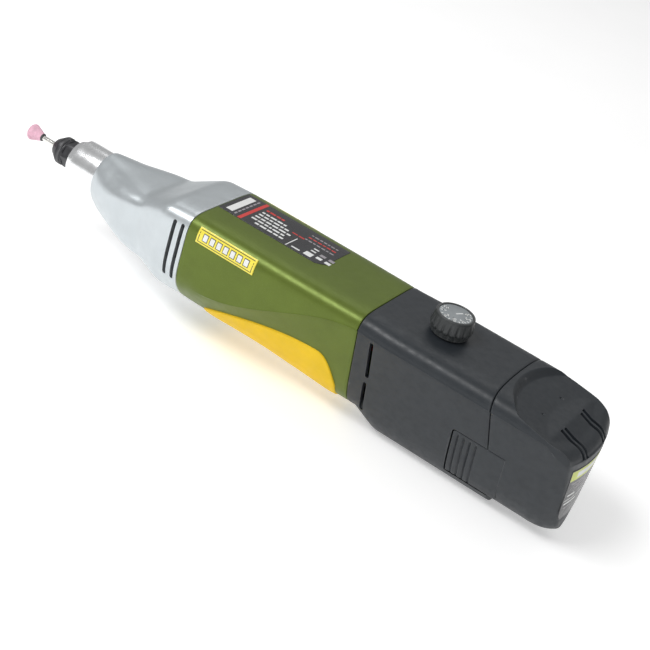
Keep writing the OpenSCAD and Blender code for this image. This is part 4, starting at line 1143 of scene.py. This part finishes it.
def make_battery_label():
    """Shield-shaped label on the rear face: dark, with a lime band at its top and plain lines."""
    high, low = 3.4, -22.5

    def half(z):
        """Half the label's width: it narrows towards its rounded foot."""
        return 15.6 - 4.8 * float(frac(-z, -high, 18)) - 3.2 * float(frac(-z, 16, -low)) ** 2

    def rear_patch(name, z0, z1, share0, share1, lift, thick):
        """Strip of the rear face between two heights, between two shares of the label's width."""
        zs = np.linspace(z0, z1, 12)
        across = np.linspace(share0, share1, 25)
        points = []
        for rise in (lift - 0.2, lift + thick):
            for z in zs:
                for y in across * half(z):
                    points.append((rear_edge(y) + rise, y, z))
        return add_mesh(name, points, slab_faces(len(zs), len(across)))

    obj = rear_patch("battery_label", high, low, -1, 1, 0.02, 0.15)
    piece(obj, "battery", "label_black", "battery_label")
    strips = [
        (3.1, -1.9, -0.98, 0.98, "print_lime"), (1.9, -0.7, -0.72, 0.72, "print_white"),
        (-3.4, -4.1, -0.85, 0.8, "print_grey"), (-5.0, -5.7, -0.6, 0.85, "print_grey"),
        (-6.6, -7.3, -0.6, 0.3, "print_grey"), (-9.4, -10.2, -0.85, -0.45, "print_white"),
        (-9.6, -10.2, 0.1, 0.8, "print_grey"), (-12.0, -12.35, -0.97, 0.97, "print_white"),
        (-13.6, -14.4, -0.9, -0.1, "print_white"), (-13.6, -14.4, 0.2, 0.8, "print_grey"),
        (-16.0, -16.6, -0.85, -0.3, "print_grey"),
    ]
    for k, (z0, z1, share0, share1, ink) in enumerate(strips):
        obj = rear_patch(f"battery_print_{k}", z0, z1, share0, share1, 0.17, 0.05 if k == 1 else 0.02)
        dress(obj, ink)
        piece(obj, "battery", "label_black", inked=True)


# ---- Camera, light and floor --------------------------------------------------------------
def make_camera():
    """Perspective camera, set by its azimuth, elevation and roll in degrees."""
    azimuth, elevation, roll = (math.radians(v) for v in (23.5, 29.95, 18.95))
    distance, target = 0.550, Vector((0.1255, 0.0, -0.0074))
    away = math.cos(elevation)
    back = Vector((math.sin(azimuth) * away, -math.cos(azimuth) * away, math.sin(elevation)))
    level = Vector((math.cos(azimuth), math.sin(azimuth), 0))
    rise = back.cross(level)
    right = math.cos(roll) * level + math.sin(roll) * rise
    up = back.cross(right)
    camera = bpy.data.objects.new("camera", bpy.data.cameras.new("camera"))
    camera.data.sensor_width = 36
    camera.data.lens = 76.15
    camera.data.clip_start, camera.data.clip_end = 0.02, 20
    place = target + back * distance
    camera.matrix_world = Matrix((
        (right.x, up.x, back.x, place.x), (right.y, up.y, back.y, place.y),
        (right.z, up.z, back.z, place.z), (0, 0, 0, 1),
    ))
    bpy.context.scene.collection.objects.link(camera)
    bpy.context.scene.camera = camera


def area_light(name, direction, distance, size, energy, target=(0.11, 0, 0)):
    light = bpy.data.lights.new(name, "AREA")
    light.shape, light.size, light.size_y, light.energy = "RECTANGLE", size[0], size[1], energy
    obj = bpy.data.objects.new(name, light)
    way = Vector(direction).normalized()
    obj.location = Vector(target) + way * distance
    obj.rotation_euler = way.to_track_quat("Z", "Y").to_euler()
    bpy.context.scene.collection.objects.link(obj)


def make_stage():
    lowest = -REAR_DROP * MM - 0.0001
    floor = add_mesh("floor", np.array([(-3, -3, 0), (3, -3, 0), (3, 3, 0), (-3, 3, 0)]) / MM, [(0, 1, 2, 3)])
    floor.location.z = lowest
    paper = finish("floor_paper", (0.93, 0.93, 0.93), 0.9, mottle=0.01, patch=60, grain=2, depth=0.02)
    paper.node_tree.nodes["Principled BSDF"].inputs["Emission Color"].default_value = (1, 1, 1, 1)
    paper.node_tree.nodes["Principled BSDF"].inputs["Emission Strength"].default_value = 0.3
    floor.data.materials.append(paper)
    world = bpy.data.worlds.new("studio")
    world.use_nodes = True
    world.node_tree.nodes["Background"].inputs["Color"].default_value = (1, 1, 1, 1)
    world.node_tree.nodes["Background"].inputs["Strength"].default_value = 0.42
    bpy.context.scene.world = world
    bpy.context.scene.view_settings.view_transform = "Standard"
    area_light("key", (-0.35, -0.5, 0.8), 0.9, (0.5, 0.35), 5)
    area_light("fill", (0.5, -0.9, 0.35), 1.0, (0.5, 0.5), 1.5)
    area_light("back", (-0.3, 0.75, 1.0), 1.0, (0.8, 0.3), 1.2)


make_collar()
make_nut()
make_stone()
make_head()
make_motor_housing()
make_grips()
make_plates()
make_rating_label()
make_rear_housing()
make_housing_screws()
make_dial()
make_battery()
make_latches()
make_battery_label()
make_camera()
make_stage()
